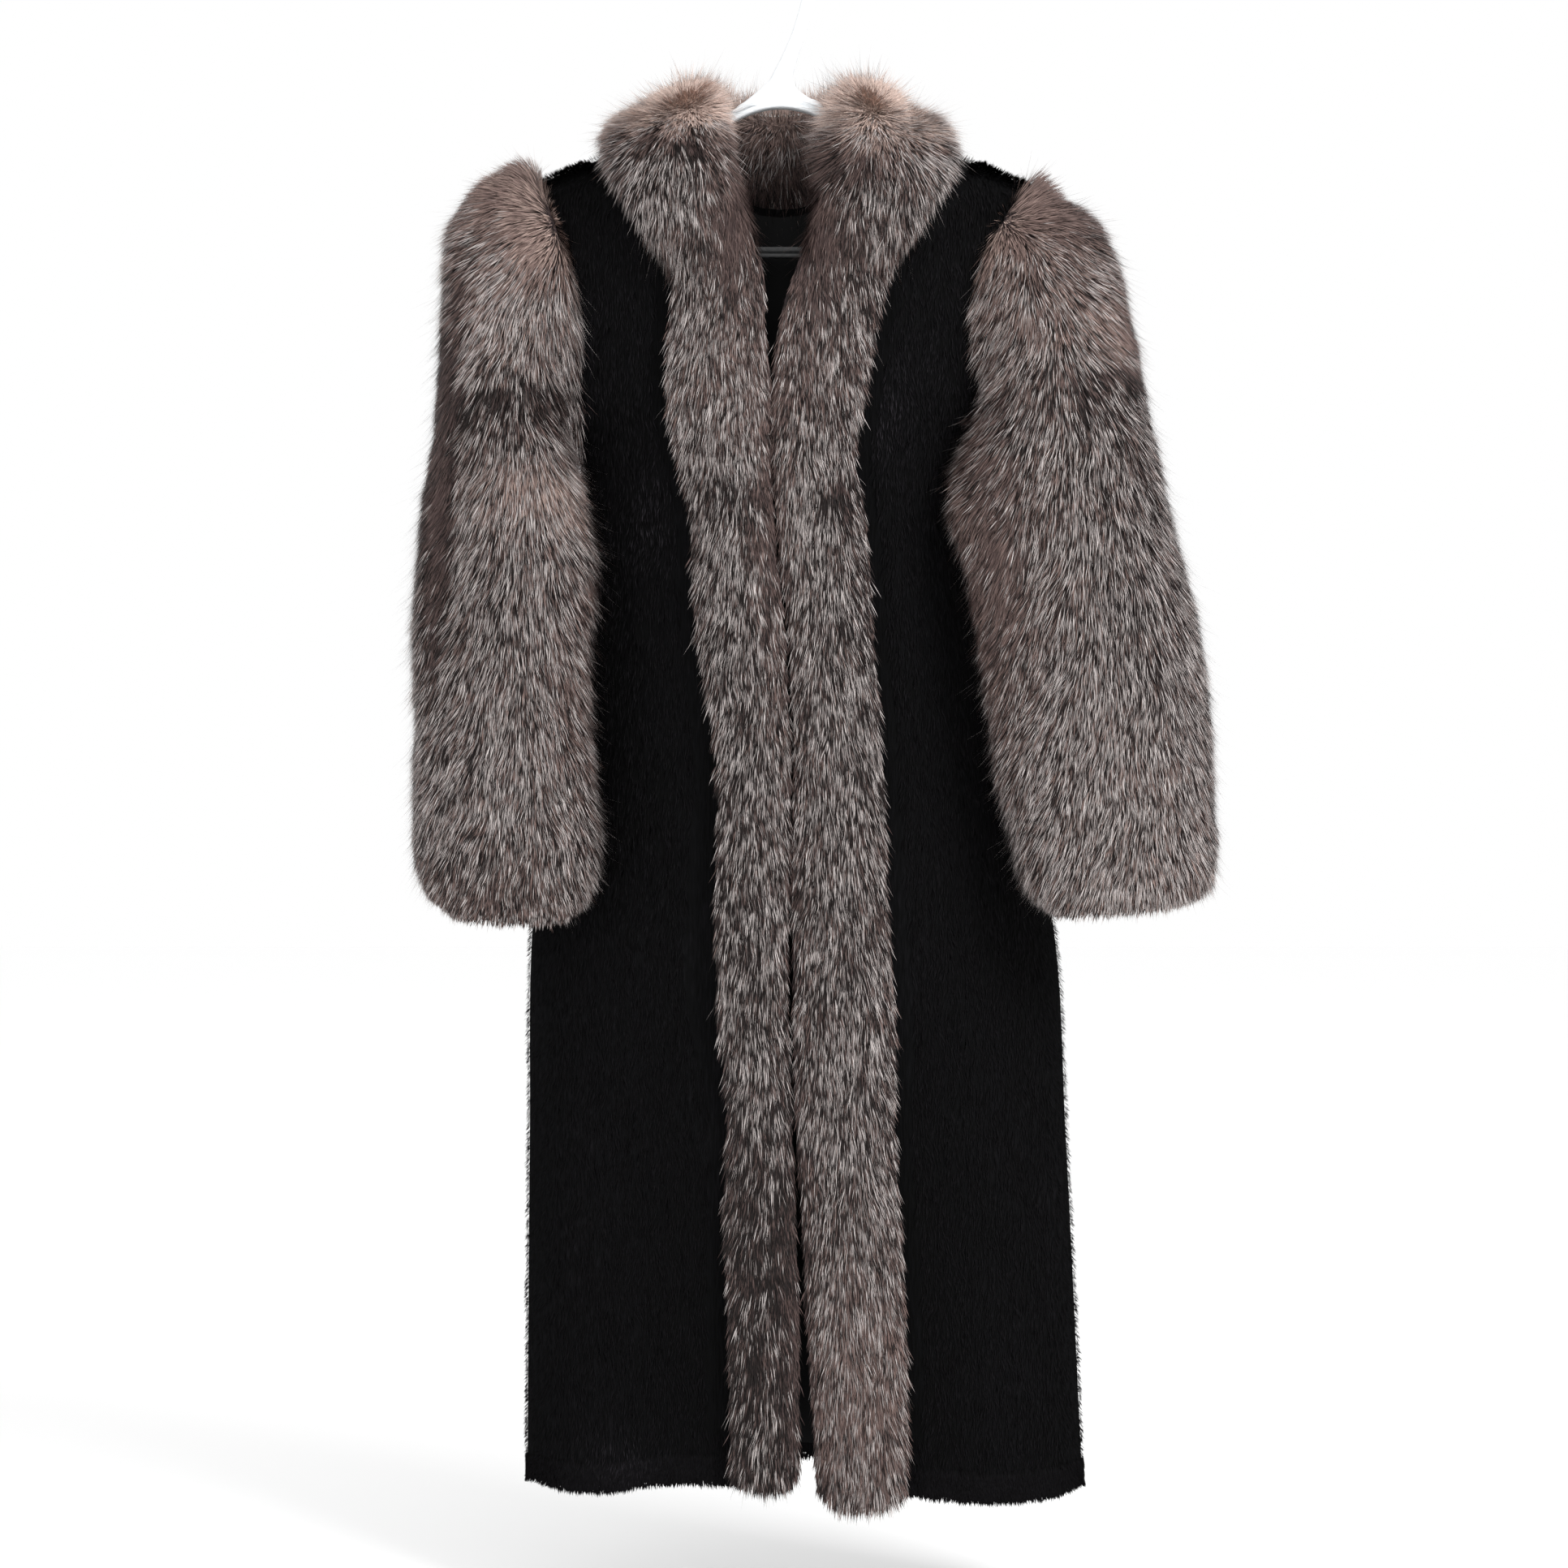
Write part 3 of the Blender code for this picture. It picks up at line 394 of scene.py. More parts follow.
def read(net, row, column):
    """A net's values at places between its points, by their four neighbours."""
    i, j = row.astype(int), column.astype(int)
    a, b = (row - i)[:, None], (column - j)[:, None]
    near = net[i, j] * (1 - b) + net[i, j + 1] * b
    far = net[i + 1, j] * (1 - b) + net[i + 1, j + 1] * b
    return near * (1 - a) + far * a


def scatter(net, out, count, seed, weight=1.0):
    """Places spread evenly over a net's area, or as its weight says: row and column numbers with their fractions,
    the points there and the normals."""
    over, down = np.diff(net, axis=1)[:-1], np.diff(net, axis=0)[:, :-1]
    area = np.linalg.norm(np.cross(over, down), axis=-1) * weight
    total = np.cumsum(area.ravel())
    rng = np.random.default_rng(seed)
    chosen = (np.arange(count) + rng.random(count)) / count * total[-1]
    cell = np.minimum(np.searchsorted(total, chosen), area.size - 1)
    row, column = np.unravel_index(cell, area.shape)
    row, column = row + rng.random(count), column + rng.random(count)
    return row, column, read(net, row, column), unit(read(out, row, column))


def waver(points, size, seed):
    """Smooth values between about -1 and 1 that rise and fall over the given size: a sum of eight sine waves in
    random directions."""
    rng = np.random.default_rng(seed)
    waves = unit(rng.normal(0, 1, (8, 3))) * (2 * np.pi / size * rng.uniform(0.6, 1.5, (8, 1)))
    return np.sin(points @ waves.T + rng.uniform(0, 2 * np.pi, 8)).sum(-1) / 2.8


LOCK = 0.0019  # size of the locks that share a colour and whose tips draw together
BELLY = 0.6  # where along its length a hair is widest
SWAY_SIZE = 0.035  # over which neighbouring hairs turn aside together
FLATTENED = 0.010  # how far past the coat's own depth a hair may stand before what it hangs against flattens it


def locks(places, seed):
    """The number of the lock that each place belongs to: cells of a grid whose lines wander by 2 mm."""
    cells = np.floor((places + 0.002 * waver(places, 0.012, seed)[:, None]) / LOCK).astype(int)
    return np.unique(cells @ (1, 1009, 1018081), return_inverse=True)[1]


def turned(direction, out, angle):
    """Directions in the surface, turned about its normals by an angle."""
    return direction * np.cos(angle) + np.cross(direction, out) * np.sin(angle)


def fur(name, roots, out, lie, length, lift, width, kind, finish, seed, sway=0.14, stray=0.11, tuft=0.45, wisps=0.06):
    """Hairs as slim triangles with a flat side out: the root, a belly that stands about the width to one side, and
    the tip. Each rises by its lift from the surface, along lie. Neighbours turn aside together by sway and each
    alone by stray, then the tips of each lock draw together by the share tuft. Wisps are the share of fine long
    hairs that stand off."""
    count = len(roots)
    rng = np.random.default_rng(seed)
    lie = lie - (lie * out).sum(-1, keepdims=True) * out
    held = ramp(np.linalg.norm(lie, axis=-1, keepdims=True))
    angle = sway * waver(roots, SWAY_SIZE, seed) + rng.normal(0, 1, count) * stray
    along = turned(unit(lie), out, angle[:, None])
    off = rng.random(count) < wisps
    length = length * rng.uniform(0.7, 1.2, count) * (1 + 0.05 * waver(roots, 0.015, seed + 2)) * (1 + 0.2 * off)
    lift = lift * rng.uniform(0.6, 1.4, count) * (1 + 0.1 * waver(roots, 0.025, seed + 3)) * (1 + 0.8 * off)
    lift = np.minimum(lift, 1.5)[:, None]
    tip = roots + length[:, None] * (held * np.cos(lift) * along + np.sin(lift) * out)
    tip[:, 1] = np.clip(tip[:, 1], cad_low[1] - FLATTENED, cad_high[1] + FLATTENED)
    member = locks(roots, seed)
    middle = np.stack([np.bincount(member, tip[:, k]) for k in range(3)], axis=-1) / np.bincount(member)[:, None]
    tip = tip + (tuft * (1 - off))[:, None] * (middle[member] - tip)
    side = unit(np.cross(tip - roots, out)) * np.where(rng.random(count) < 0.5, 1, -1)[:, None]
    belly = roots + BELLY * (tip - roots) + (width * rng.uniform(0.7, 1.25, count) * (1 - 0.6 * off))[:, None] * side
    handed = (np.cross(belly - roots, tip - roots) * out).sum(-1) > 0
    order = np.where(handed[:, None], (0, 1, 2), (0, 2, 1))
    points, first = np.stack([roots, belly, tip], axis=1), 3 * np.arange(count)
    mesh = bpy.data.meshes.new(name)
    mesh.vertices.add(3 * count)
    mesh.vertices.foreach_set("co", points.astype(np.float32).ravel())
    mesh.loops.add(3 * count)
    mesh.loops.foreach_set("vertex_index", (first[:, None] + order).astype(np.int32).ravel())
    mesh.polygons.add(count)
    mesh.polygons.foreach_set("loop_start", first.astype(np.int32))
    mesh.update(calc_edges=True)
    # The hair's own map: place along it and kind, a little apart at the belly so that no triangle's map is a line
    places = np.array((0.0, BELLY, 1.0))[order]
    kinds = np.clip(kind, 0.01, 0.99)[:, None] + np.array((0.0, 0.006, 0.0))[order]
    own_map = mesh.uv_layers.new(name="OFBake")
    own_map.data.foreach_set("uv", np.stack([places, kinds], -1).astype(np.float32).ravel())
    mesh.shade_smooth()
    facing = unit(out + 0.35 * rng.normal(0, 1, (count, 3)))
    mesh.normals_split_custom_set_from_vertices(np.repeat(facing, 3, axis=0).astype(np.float32))
    mesh.materials.append(finish)
    return linked(name, mesh)


# Dyed mink pile: near black and dull, with faint lighter patches of painted sheen where the nap turns, and a grain
# of clumped hair ends about 2 mm wide and 15 mm long
clumps_and_sheen_patches = ((500, 500, 65), 3.0), ((9, 9, 3), 2.0)
pile_shades = "0.12 #0a0a0a 0.30 #0e0e0f 0.48 #161517"
mink = grained("black_mink_pile", clumps_and_sheen_patches, pile_shades, 0.6, 0.002, Roughness=0.6, Specular_IOR_Level=0.01)
# Dyed mink hair: black to the root, with painted sheen in dark grey where the nap shines
mink_bands = {0.0: "0 #0b0b0b 1 #121213", 1.0: "0 #0f0e0f .6 #161517 1 #343135"}
mink_hair = hair_material("black_mink_hair", mink_bands, roughness=0.5, gloss=0.01)
HEM_HAIRS, SKIRT = 0.007, 0.93  # how far the hairs reach below the panels' own edge, and from underarm to hem
DOWN = np.concatenate([np.linspace(0, 1, 27)[:-1], np.linspace(1, 2 - HEM_HAIRS / SKIRT, 41)])
UNDER_COLUMNS = 4  # the first columns of a front's net, which lie under the border
MINK_HAIRS = {"front_left": 40000, "front_right": 40000, "back": 62000}
MINK_LENGTH, MINK_WIDTH = 0.0115, 0.0009  # drawn as coarse as they need to show
MINK_EDGE = 0.020  # how far in from its seams a panel's hairs stand off
# Painted sheen where the nap turns and the pile shines a little, and painted shade: a touch lighter high on the body
# and darker low down towards the hem
PAINTED_SHEEN_AND_SHADE = table("""x z half_x half_z more
-.115 -.515 .02 .045 .3
-.16 -.56 .02 .04 .2
.092 -.415 .018 .045 .25
-.143 -1.335 .045 .035 .35
.2 -1.25 .03 .07 .12
0 -.4 .3 .2 .1
0 -1.1 .5 .35 -.18""")


def spots(x, z, places):
    """For each row of a table exp(-r^2), r the distance from its place in half widths, with the row's values."""
    for place_x, place_z, half_x, half_z, *values in zip(*places.values()):
        yield np.exp(-(((x - place_x) / half_x) ** 2) - ((z - place_z) / half_z) ** 2), *values


def mink_hairs(name, net, out, seed, beside):
    """Short hairs that lie down the panel. Those on the side seams and the shoulders are shorter and stand off it.
    beside is the weight of each of the net's cells."""
    row, _, roots, away = scatter(net, out, MINK_HAIRS[name], seed, beside)
    x, z = roots[:, 0], roots[:, 2]
    edge = ramp(1 - (half_width(x, z) - np.abs(x)) / MINK_EDGE)
    shoulder = ramp(1 - (shoulder_z(x) + PILE - z) / MINK_EDGE)
    lie = xyz(0.3 * edge * np.sign(x), 0, -1)
    lift = 0.13 + 0.50 * edge + 0.7 * shoulder
    at_hem = ramp(row - (net.shape[0] - 3))
    length = MINK_LENGTH - 0.0050 * np.maximum(edge, 0.7 * shoulder) - 0.0020 * at_hem
    kind = 0.6 * np.random.default_rng(seed + 1).random(len(x))
    # Painted sheen and shade: lighter or darker hair kinds at the table's spots
    for spot, more in spots(x, z, PAINTED_SHEEN_AND_SHADE):
        kind = kind + more * spot
    wide = MINK_WIDTH - 0.0002 * edge
    made = fur(name + "_hairs", roots, away, lie, length, lift, wide, kind, mink_hair, seed, tuft=0.1, wisps=0.0)
    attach(made, "root")
    return made


def seam_weight(net, columns):
    """Weight 1 over a net's cells, more beside its hem and its shoulder and along the columns given."""
    weight = np.ones((net.shape[0] - 1, net.shape[1] - 1))
    weight[:2] *= 8
    weight[-1] *= 16
    weight[:, columns] *= 8
    return weight


def full_pile(net):
    """Depth of leather and pile: by a bell of the distance it is fuller towards the shoulder line and the left side
    seam, where the skins' edges turn out, and flatter towards the right one, where they turn in."""
    x, z = net[..., 0], net[..., 2]
    at_shoulder = bell((shoulder_z(x) - z) / SEAM_WIDTH)
    at_seam = bell((half_width(x, z) - np.abs(x)) / SEAM_WIDTH) * ramp((UNDERARM_Z - z) / 0.05)
    return PILE + 0.0025 * at_shoulder + np.where(x < 0, 0.0050, -0.0030) * at_seam


for name, x_sign in (("front_left", -1), ("front_right", 1)):
    across = np.concatenate([np.linspace(0, 1, UNDER_COLUMNS + 1)[:-1], np.linspace(1, 2, 23)])
    net = front_net(x_sign, across, DOWN)
    out = normals(net, (0, -1, 0.05))
    rise = np.abs(net[..., 0]) - np.abs(net[:, [UNDER_COLUMNS], 0])
    pile = LEATHER + (full_pile(net) - LEATHER) * ramp(rise / PILE_RISE)
    fur_side = net + pile[..., None] * out
    panel = sheet_mesh(name + "_mink", net, fur_side, mink)
    beside = seam_weight(net, [-1])
    beside[:-2, : UNDER_COLUMNS + 1] = 0
    hairs = mink_hairs(name, fur_side, out, 11 + x_sign, beside)
    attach(panel, "root")
    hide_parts(name)

net = back_net(np.linspace(-1, 1, 41), DOWN)
out = normals(net, (0, 1, 0.05))
fur_side = net + full_pile(net)[..., None] * out
panel = sheet_mesh("back_mink", net, fur_side, mink)
hairs = mink_hairs("back", fur_side, out, 14, seam_weight(net, [0, -1]))
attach(panel, "root")
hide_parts("back")


# ---------------------------------------------------------------- back lining
# A satin lining closes the leather side. It shows black in the neck opening, above the back neck seam, and
# again between the fronts at the hem, where it hangs a little shorter than the skins.

SATIN, LINING_GAP = 0.001, 0.0004  # thickness of the satin, and how far it lies off the leather
LINING_IN = 3  # how many rows and columns of the back's net it leaves free at the neck and the sides
# Woven satin: smooth and black, with a soft gloss on broad ripples about 30 mm apart, and painted sheen in its colour,
# lighter on the ripples
ripples, painted_ripple_sheen = [((35, 35, 9), 1.0)], "0.3 #020203 0.7 #060608"
satin = grained("black_satin_lining", ripples, painted_ripple_sheen, 0.4, 0.004, Roughness=0.45, Specular_IOR_Level=0.12)

inner, away = (part[LINING_IN:, LINING_IN:-LINING_IN].copy() for part in (net, out))
inner[-1] += (inner[-2] - inner[-1]) * 0.4  # its hem ends higher than the skins'
lining = sheet_mesh("lining_satin", inner - (LINING_GAP + SATIN) * away, inner - LINING_GAP * away, satin)
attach(lining, "root")
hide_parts("lining_back")


# ---------------------------------------------------------------- fox sleeves
# Each sleeve is a tube of silver fox skins gathered into the armhole in a puffed head, and open at the cuff.
# The guard hairs are about 30 mm long, brown to black with a silver band below the tip, over grey-brown wool.

# Sleeve sections from the shoulder to the cuff: each an oval seen edge on from the front, from its outer end to
# its inner end, and its middle in Y
SLEEVES = {
    -1: table("""out_x out_z in_x in_z mid_y
.245 -.205 .19 -.452 -.002
.272 -.226 .188 -.456 -.005
.29 -.258 .185 -.462 -.01
.296 -.312 .181 -.47 -.016
.301 -.37 .176 -.48 -.022
.307 -.435 .171 -.496 -.029
.317 -.5 .164 -.524 -.034
.323 -.56 .158 -.566 -.038
.326 -.62 .162 -.62 -.04
.324 -.68 .163 -.68 -.041
.326 -.74 .158 -.74 -.042
.326 -.8 .153 -.8 -.042
.318 -.834 .16 -.838 -.042
.305 -.85 .171 -.857 -.042
.29 -.862 .186 -.867 -.042"""),
    1: table("""out_x out_z in_x in_z mid_y
.246 -.23 .172 -.44 -.002
.268 -.242 .168 -.446 -.005
.287 -.266 .163 -.454 -.01
.302 -.307 .157 -.464 -.016
.315 -.364 .15 -.477 -.023
.33 -.44 .147 -.495 -.031
.343 -.5 .146 -.516 -.037
.357 -.56 .158 -.562 -.041
.371 -.62 .168 -.62 -.042
.379 -.68 .176 -.68 -.043
.383 -.74 .184 -.74 -.044
.386 -.79 .197 -.796 -.044
.384 -.82 .208 -.832 -.044
.374 -.838 .221 -.85 -.044
.358 -.849 .236 -.861 -.044"""),
}
# On both sides alike: half depth in Y, and depth of the fox
for sections in SLEEVES.values():
    sections |= table("""half_y wall
.058 .017
.06 .019
.061 .021
.061 .023
.06 .024
.059 .025
.058 .025
.057 .025
.058 .025
.058 .025
.058 .025
.057 .025
.055 .023
.05 .016
.043 .007""")
# Long creases: side, the height where each starts and ends, its place round the oval in degrees from the outer
# end towards the front, its half width there and its depth
CREASES = table("""side top bottom angle spread depth
-1 -.38 -.72 52 20 .009
-1 -.34 -.62 305 22 .006
1 -.42 -.76 128 22 .007
1 -.36 -.66 300 20 .006""")
SKIN_DEPTH, WOOL_DEPTH = 0.80, 0.42  # where the leather and the wool's top lie, as shares of the fox's depth
# How far a head is puffed out at the armhole's edge, all round past it, in front and behind, and at the top, how
# far out in X the first full ring stands and how far it comes in over the body
HEAD_EDGE, HEAD_PUFF, HEAD_PUFF_SIDES, HEAD_PUFF_TOP = 0.004, 0.013, 0.012, {-1: 0.025, 1: 0.002}
HEAD_STEP, HEAD_OVER_BODY = 0.004, {-1: 0.002, 1: 0.014}


def crease_depth(x_sign, angle, z):
    """A half sine down each crease times a bell across it."""
    total = 0
    for side, top, bottom, place, spread, depth in zip(*CREASES.values()):
        along = ramp((z - top) / (bottom - top))
        apart = (angle - place + 180) % 360 - 180
        total = total + (side == x_sign) * depth * np.sin(np.pi * along) * bell(apart / spread)
    return total


def sleeve_ovals(x_sign, angle, inset):
    """Ovals of the section table, drawn in by inset times the fox's depth. The angle starts at the outer end and
    turns first to the front, where the oval is fuller: half depth times sin(angle)^(3/4)."""
    sections = SLEEVES[x_sign]
    turn = np.radians(angle)[None, :]
    wall = (sections["wall"] * inset)[:, None]
    outer, inner = (np.stack([sections[k + "_x"], sections[k + "_z"]], axis=-1) for k in ("out", "in"))
    middle, half = (outer + inner) / 2, (outer - inner) / 2
    long = np.linalg.norm(half, axis=-1)[:, None]
    z_at = middle[:, 1:] + half[:, 1:] * np.cos(turn)
    creased = crease_depth(x_sign, angle[None, :], z_at) * (1 - 0.5 * inset)
    reach = (long - wall - creased) * np.cos(turn) / long
    fuller = np.where(np.sin(turn) > 0, np.abs(np.sin(turn)) ** 0.75, np.sin(turn))
    x, z = (middle[:, k : k + 1] + half[:, k : k + 1] * reach for k in (0, 1))
    y = sections["mid_y"][:, None] - (sections["half_y"][:, None] - wall - creased) * fuller
    return xyz(x_sign * x, y, z)


def armhole_rings(x_sign, angle, inset):
    """The armhole's edge, from the shoulder down the front and up the back, and the first full ring of the head:
    the same edge moved out by its puff, up at the shoulder and outwards at the underarm, and over the body by a
    share of sin(angle)^2."""
    turn = np.radians(angle)
    x, z = outer_edge(x_sign, np.where(angle <= 180, angle, 360 - angle) / 180 * 0.9999)
    y = np.where(angle <= 180, skin_y(x_sign * x, z, -1), skin_y(x_sign * x, z, 1))
    seam = xyz(x_sign * x, y, z)
    away = unit(xyz(x_sign * (1 - np.cos(turn)) / 2, -np.sin(turn), ramp(np.cos(turn))))
    puff = HEAD_PUFF + HEAD_PUFF_TOP[x_sign] * np.cos(turn / 2) ** 2 + HEAD_PUFF_SIDES * np.sin(turn) ** 2
    over = np.zeros((len(turn), 3))
    over[:, 0] = x_sign * (HEAD_STEP - HEAD_OVER_BODY[x_sign] * np.sin(turn) ** 2)
    full = seam + away * (puff * (1 - inset))[:, None] + over
    return np.stack([seam + away * HEAD_EDGE * (1 - inset), full])


def sleeve_net(x_sign, columns, rows, inset):
    """The sleeve drawn in by inset: a cubic through its armhole rings and its ovals."""
    angle = np.linspace(0, 360, columns + 1)
    rings = np.concatenate([armhole_rings(x_sign, angle, inset), sleeve_ovals(x_sign, angle, inset)])
    return smooth(np.linspace(0, len(rings) - 1, rows), np.arange(len(rings)), rings)


def fox_wool(name, dark, light):
    """Dense fox wool under the guard hairs: matt streaks about 2 mm wide and 20 mm long."""
    streaks, shades = [((520, 520, 60), 3.0)], f"0.35 {dark} 0.68 {light}"
    return grained(name, streaks, shades, 0.8, 0.003, Roughness=0.8, Specular_IOR_Level=0.15)


wool = fox_wool("silver_fox_wool", "#1d1716", "#43383a")
# Silver fox guard hair: up to kind 0.3 dark hairs, from 0.36 to 0.64 tan ones, and from 0.7 silver ones, ever whiter,
# all with darker roots and a soft gloss
fox_bands = {
    0.0: "0 #130f0e .3 #211a18 .36 #271e1d .5 #584843 .64 #a8948c .7 #1e1918",
    0.38: "0 #171211 .3 #342a28 .36 #382d2c .5 #6e5c56 .64 #bda69c .7 #332b2b",
    0.6: "0 #1b1514 .3 #433634 .36 #483a39 .5 #85706a .64 #d6bdb1 .7 #6b6260 1 #d2c9c6",
    0.86: "0 #191312 .3 #3c302e .36 #4c3d3b .5 #8e7770 .64 #dec6ba .7 #746b68 1 #e2d9d6",
    1.0: "0 #120d0c .3 #2c2321 .36 #423533 .5 #7d6962 .64 #c9b3a8 .7 #4a4240 1 #958c89",
}
fox_hair = hair_material("silver_fox_guard_hair", fox_bands, roughness=0.5, gloss=0.2)
# The least kind of tan and of silver hairs, each with its span, the span of the dark ones and where silver starts
TAN_KINDS, SILVER_KINDS, DARK_KINDS, SILVER_FROM = (0.36, 0.28), (0.70, 0.30), 0.30, 0.66
SILVER_WIDTH, DULL_WIDTH = 0.00048, 0.0008  # drawn as coarse as they need to show
LIKE_LOCK = 0.67  # the share of hairs that are of one kind with their lock


def fox_kinds(warm, light, places, seed):
    """Kinds of hair at places: warm is the share of tan hairs, and light the share of the others that are silver.
    Most hairs are of one kind with their lock, the rest each of their own, and tan ones are paler where it is light."""
    rng = np.random.default_rng(seed)
    count = len(places)
    light = np.clip(light + 0.05 * waver(places, 0.022, seed), 0.02, 0.98)
    warm = ramp(warm + 0.06 * waver(places, 0.030, seed + 1))
    member = locks(places, seed + 2)
    own, shared = rng.random((3, count)), rng.random((3, member.max() + 1))[:, member]
    shade, silvery, tawny = np.where(rng.random(count) < LIKE_LOCK, shared, own)
    tan = TAN_KINDS[0] + TAN_KINDS[1] * ramp(light + 0.35 * (shade - 0.5))
    dark = DARK_KINDS * ramp(0.7 * light + 0.6 * (shade - 0.5))
    grey = np.where(silvery < light, SILVER_KINDS[0] + SILVER_KINDS[1] * shade, dark)
    return np.where(tawny < warm, tan, grey)


def tinted(x, z, warm, light, patches):
    """Shares of tan and of light hairs: a ground value and the spots of a table."""
    for spot, warmer, lighter in spots(x, z, patches):
        warm, light = warm + warmer * spot, light + lighter * spot
    return warm, light


def guard_hairs(name, roots, out, lie, length, lift, warm, light, seeds, thinned=1.0, **look):
    """Fox hairs by their shares of tan and of light ones. Silver ones are a quarter longer and stand a third higher."""
    kind = fox_kinds(warm, light, roots, seeds[0])
    silver = kind > SILVER_FROM
    length, lift = length * (1 + 0.25 * silver), lift * (1 + 0.30 * silver)
    width = np.where(silver, SILVER_WIDTH, DULL_WIDTH) * thinned
    return fur(name, roots, out, lie, length, lift, width, kind, fox_hair, seeds[1], **look)


def combed(lie, x, z, strokes):
    """Directions seen from the front, turned at the spots of a table: each by its angle in degrees from straight
    down towards +X."""
    for spot, turn in spots(x, z, strokes):
        weight = 2 * spot[:, None]
        towards = np.array((np.sin(np.radians(turn)), 0, -np.cos(np.radians(turn))))
        lie = (lie + weight * towards) / (1 + weight)
    return lie


# Tan heads and the lighter skins lower down
SLEEVE_TINTS = table("""x z half_x half_z warmer lighter
-.235 -.215 .07 .05 .85 .1
-.205 -.27 .03 .035 .45 .08
-.235 -.33 .05 .05 .2 .14
-.2 -.485 .06 .035 .45 .32
-.17 -.62 .03 .12 .3 -.05
-.24 -.6 .05 .08 0 -.05
-.26 -.815 .05 .03 .1 -.14
-.25 -.845 .1 .02 .25 -.08
.24 -.222 .07 .045 .85 -.27
.22 -.31 .05 .06 .3 .06
.285 -.35 .03 .035 .6 .08
.185 -.56 .035 .14 .65 -.2
.305 -.6 .022 .06 -.1 -.12
.33 -.74 .06 .12 0 .08
.29 -.84 .11 .025 .05 .1""")
# Painted shade in the creases down the outer sides of their fronts: fewer light hairs and more dark brown ones
CREASE_PAINTED_SHADE = table("""x z half_x half_z warmer lighter
-.268 -.315 .01 .03 .3 -.3
-.283 -.375 .011 .04 .55 -.7
-.289 -.44 .012 .045 .55 -.85
-.291 -.51 .011 .05 .55 -.85
-.293 -.59 .009 .06 .4 -.55
.3 -.32 .012 .045 .4 -.4""")
# Joins across the sleeves, where darker fur starts under the light tips of the skin above: the join's middle, its
# half length, how far down the dark fades and how dark it is
SLEEVE_JOINS = table("""x z half_x fade darker
-.235 -.388 .07 .05 .38
.285 -.374 .045 .05 .34
.2 -.398 .03 .04 .18""")
# How the sleeves' hair is combed out of its ground direction
SLEEVE_STROKES = table("""x z half_x half_z turn
-.28 -.29 .03 .04 -48
-.245 -.3 .03 .04 -38
-.285 -.37 .025 .04 -22
-.23 -.35 .03 .03 -22
-.185 -.37 .015 .04 14
.245 -.29 .025 .03 38
.275 -.345 .025 .04 45
.195 -.33 .018 .05 -18
.3 -.4 .025 .03 30
.18 -.41 .016 .05 -42
.165 -.48 .018 .04 -35""")
SLEEVE_HAIRS, SLEEVE_LENGTH = 172000, 0.025
HEAD = {-1: (-0.168, -0.246), 1: (0.180, -0.242)}  # the point that a sleeve head's hairs radiate from
HEAD_REACH = 0.11  # how far from it they still do
CUFF_FROM, LOW_FROM = -0.825, -0.56  # below these heights the hairs get shorter


def joined(x, z, light, joins):
    """Light hairs' share, less beneath each join's wandering line: it falls off by exp(-drop / fade) down from it
    and by exp(-(x / half_x)^4) along it."""
    for place_x, place_z, half_x, fade, darker in zip(*joins.values()):
        drop = place_z + 0.003 * np.sin((x - place_x) / 0.014) + 0.0015 * np.sin(x / 0.004) - z
        under = ramp(drop / 0.005 + 0.5) * np.exp(-np.clip(drop, 0, None) / fade)
        light = light - darker * under * np.exp(-(((x - place_x) / half_x) ** 4))
    return light


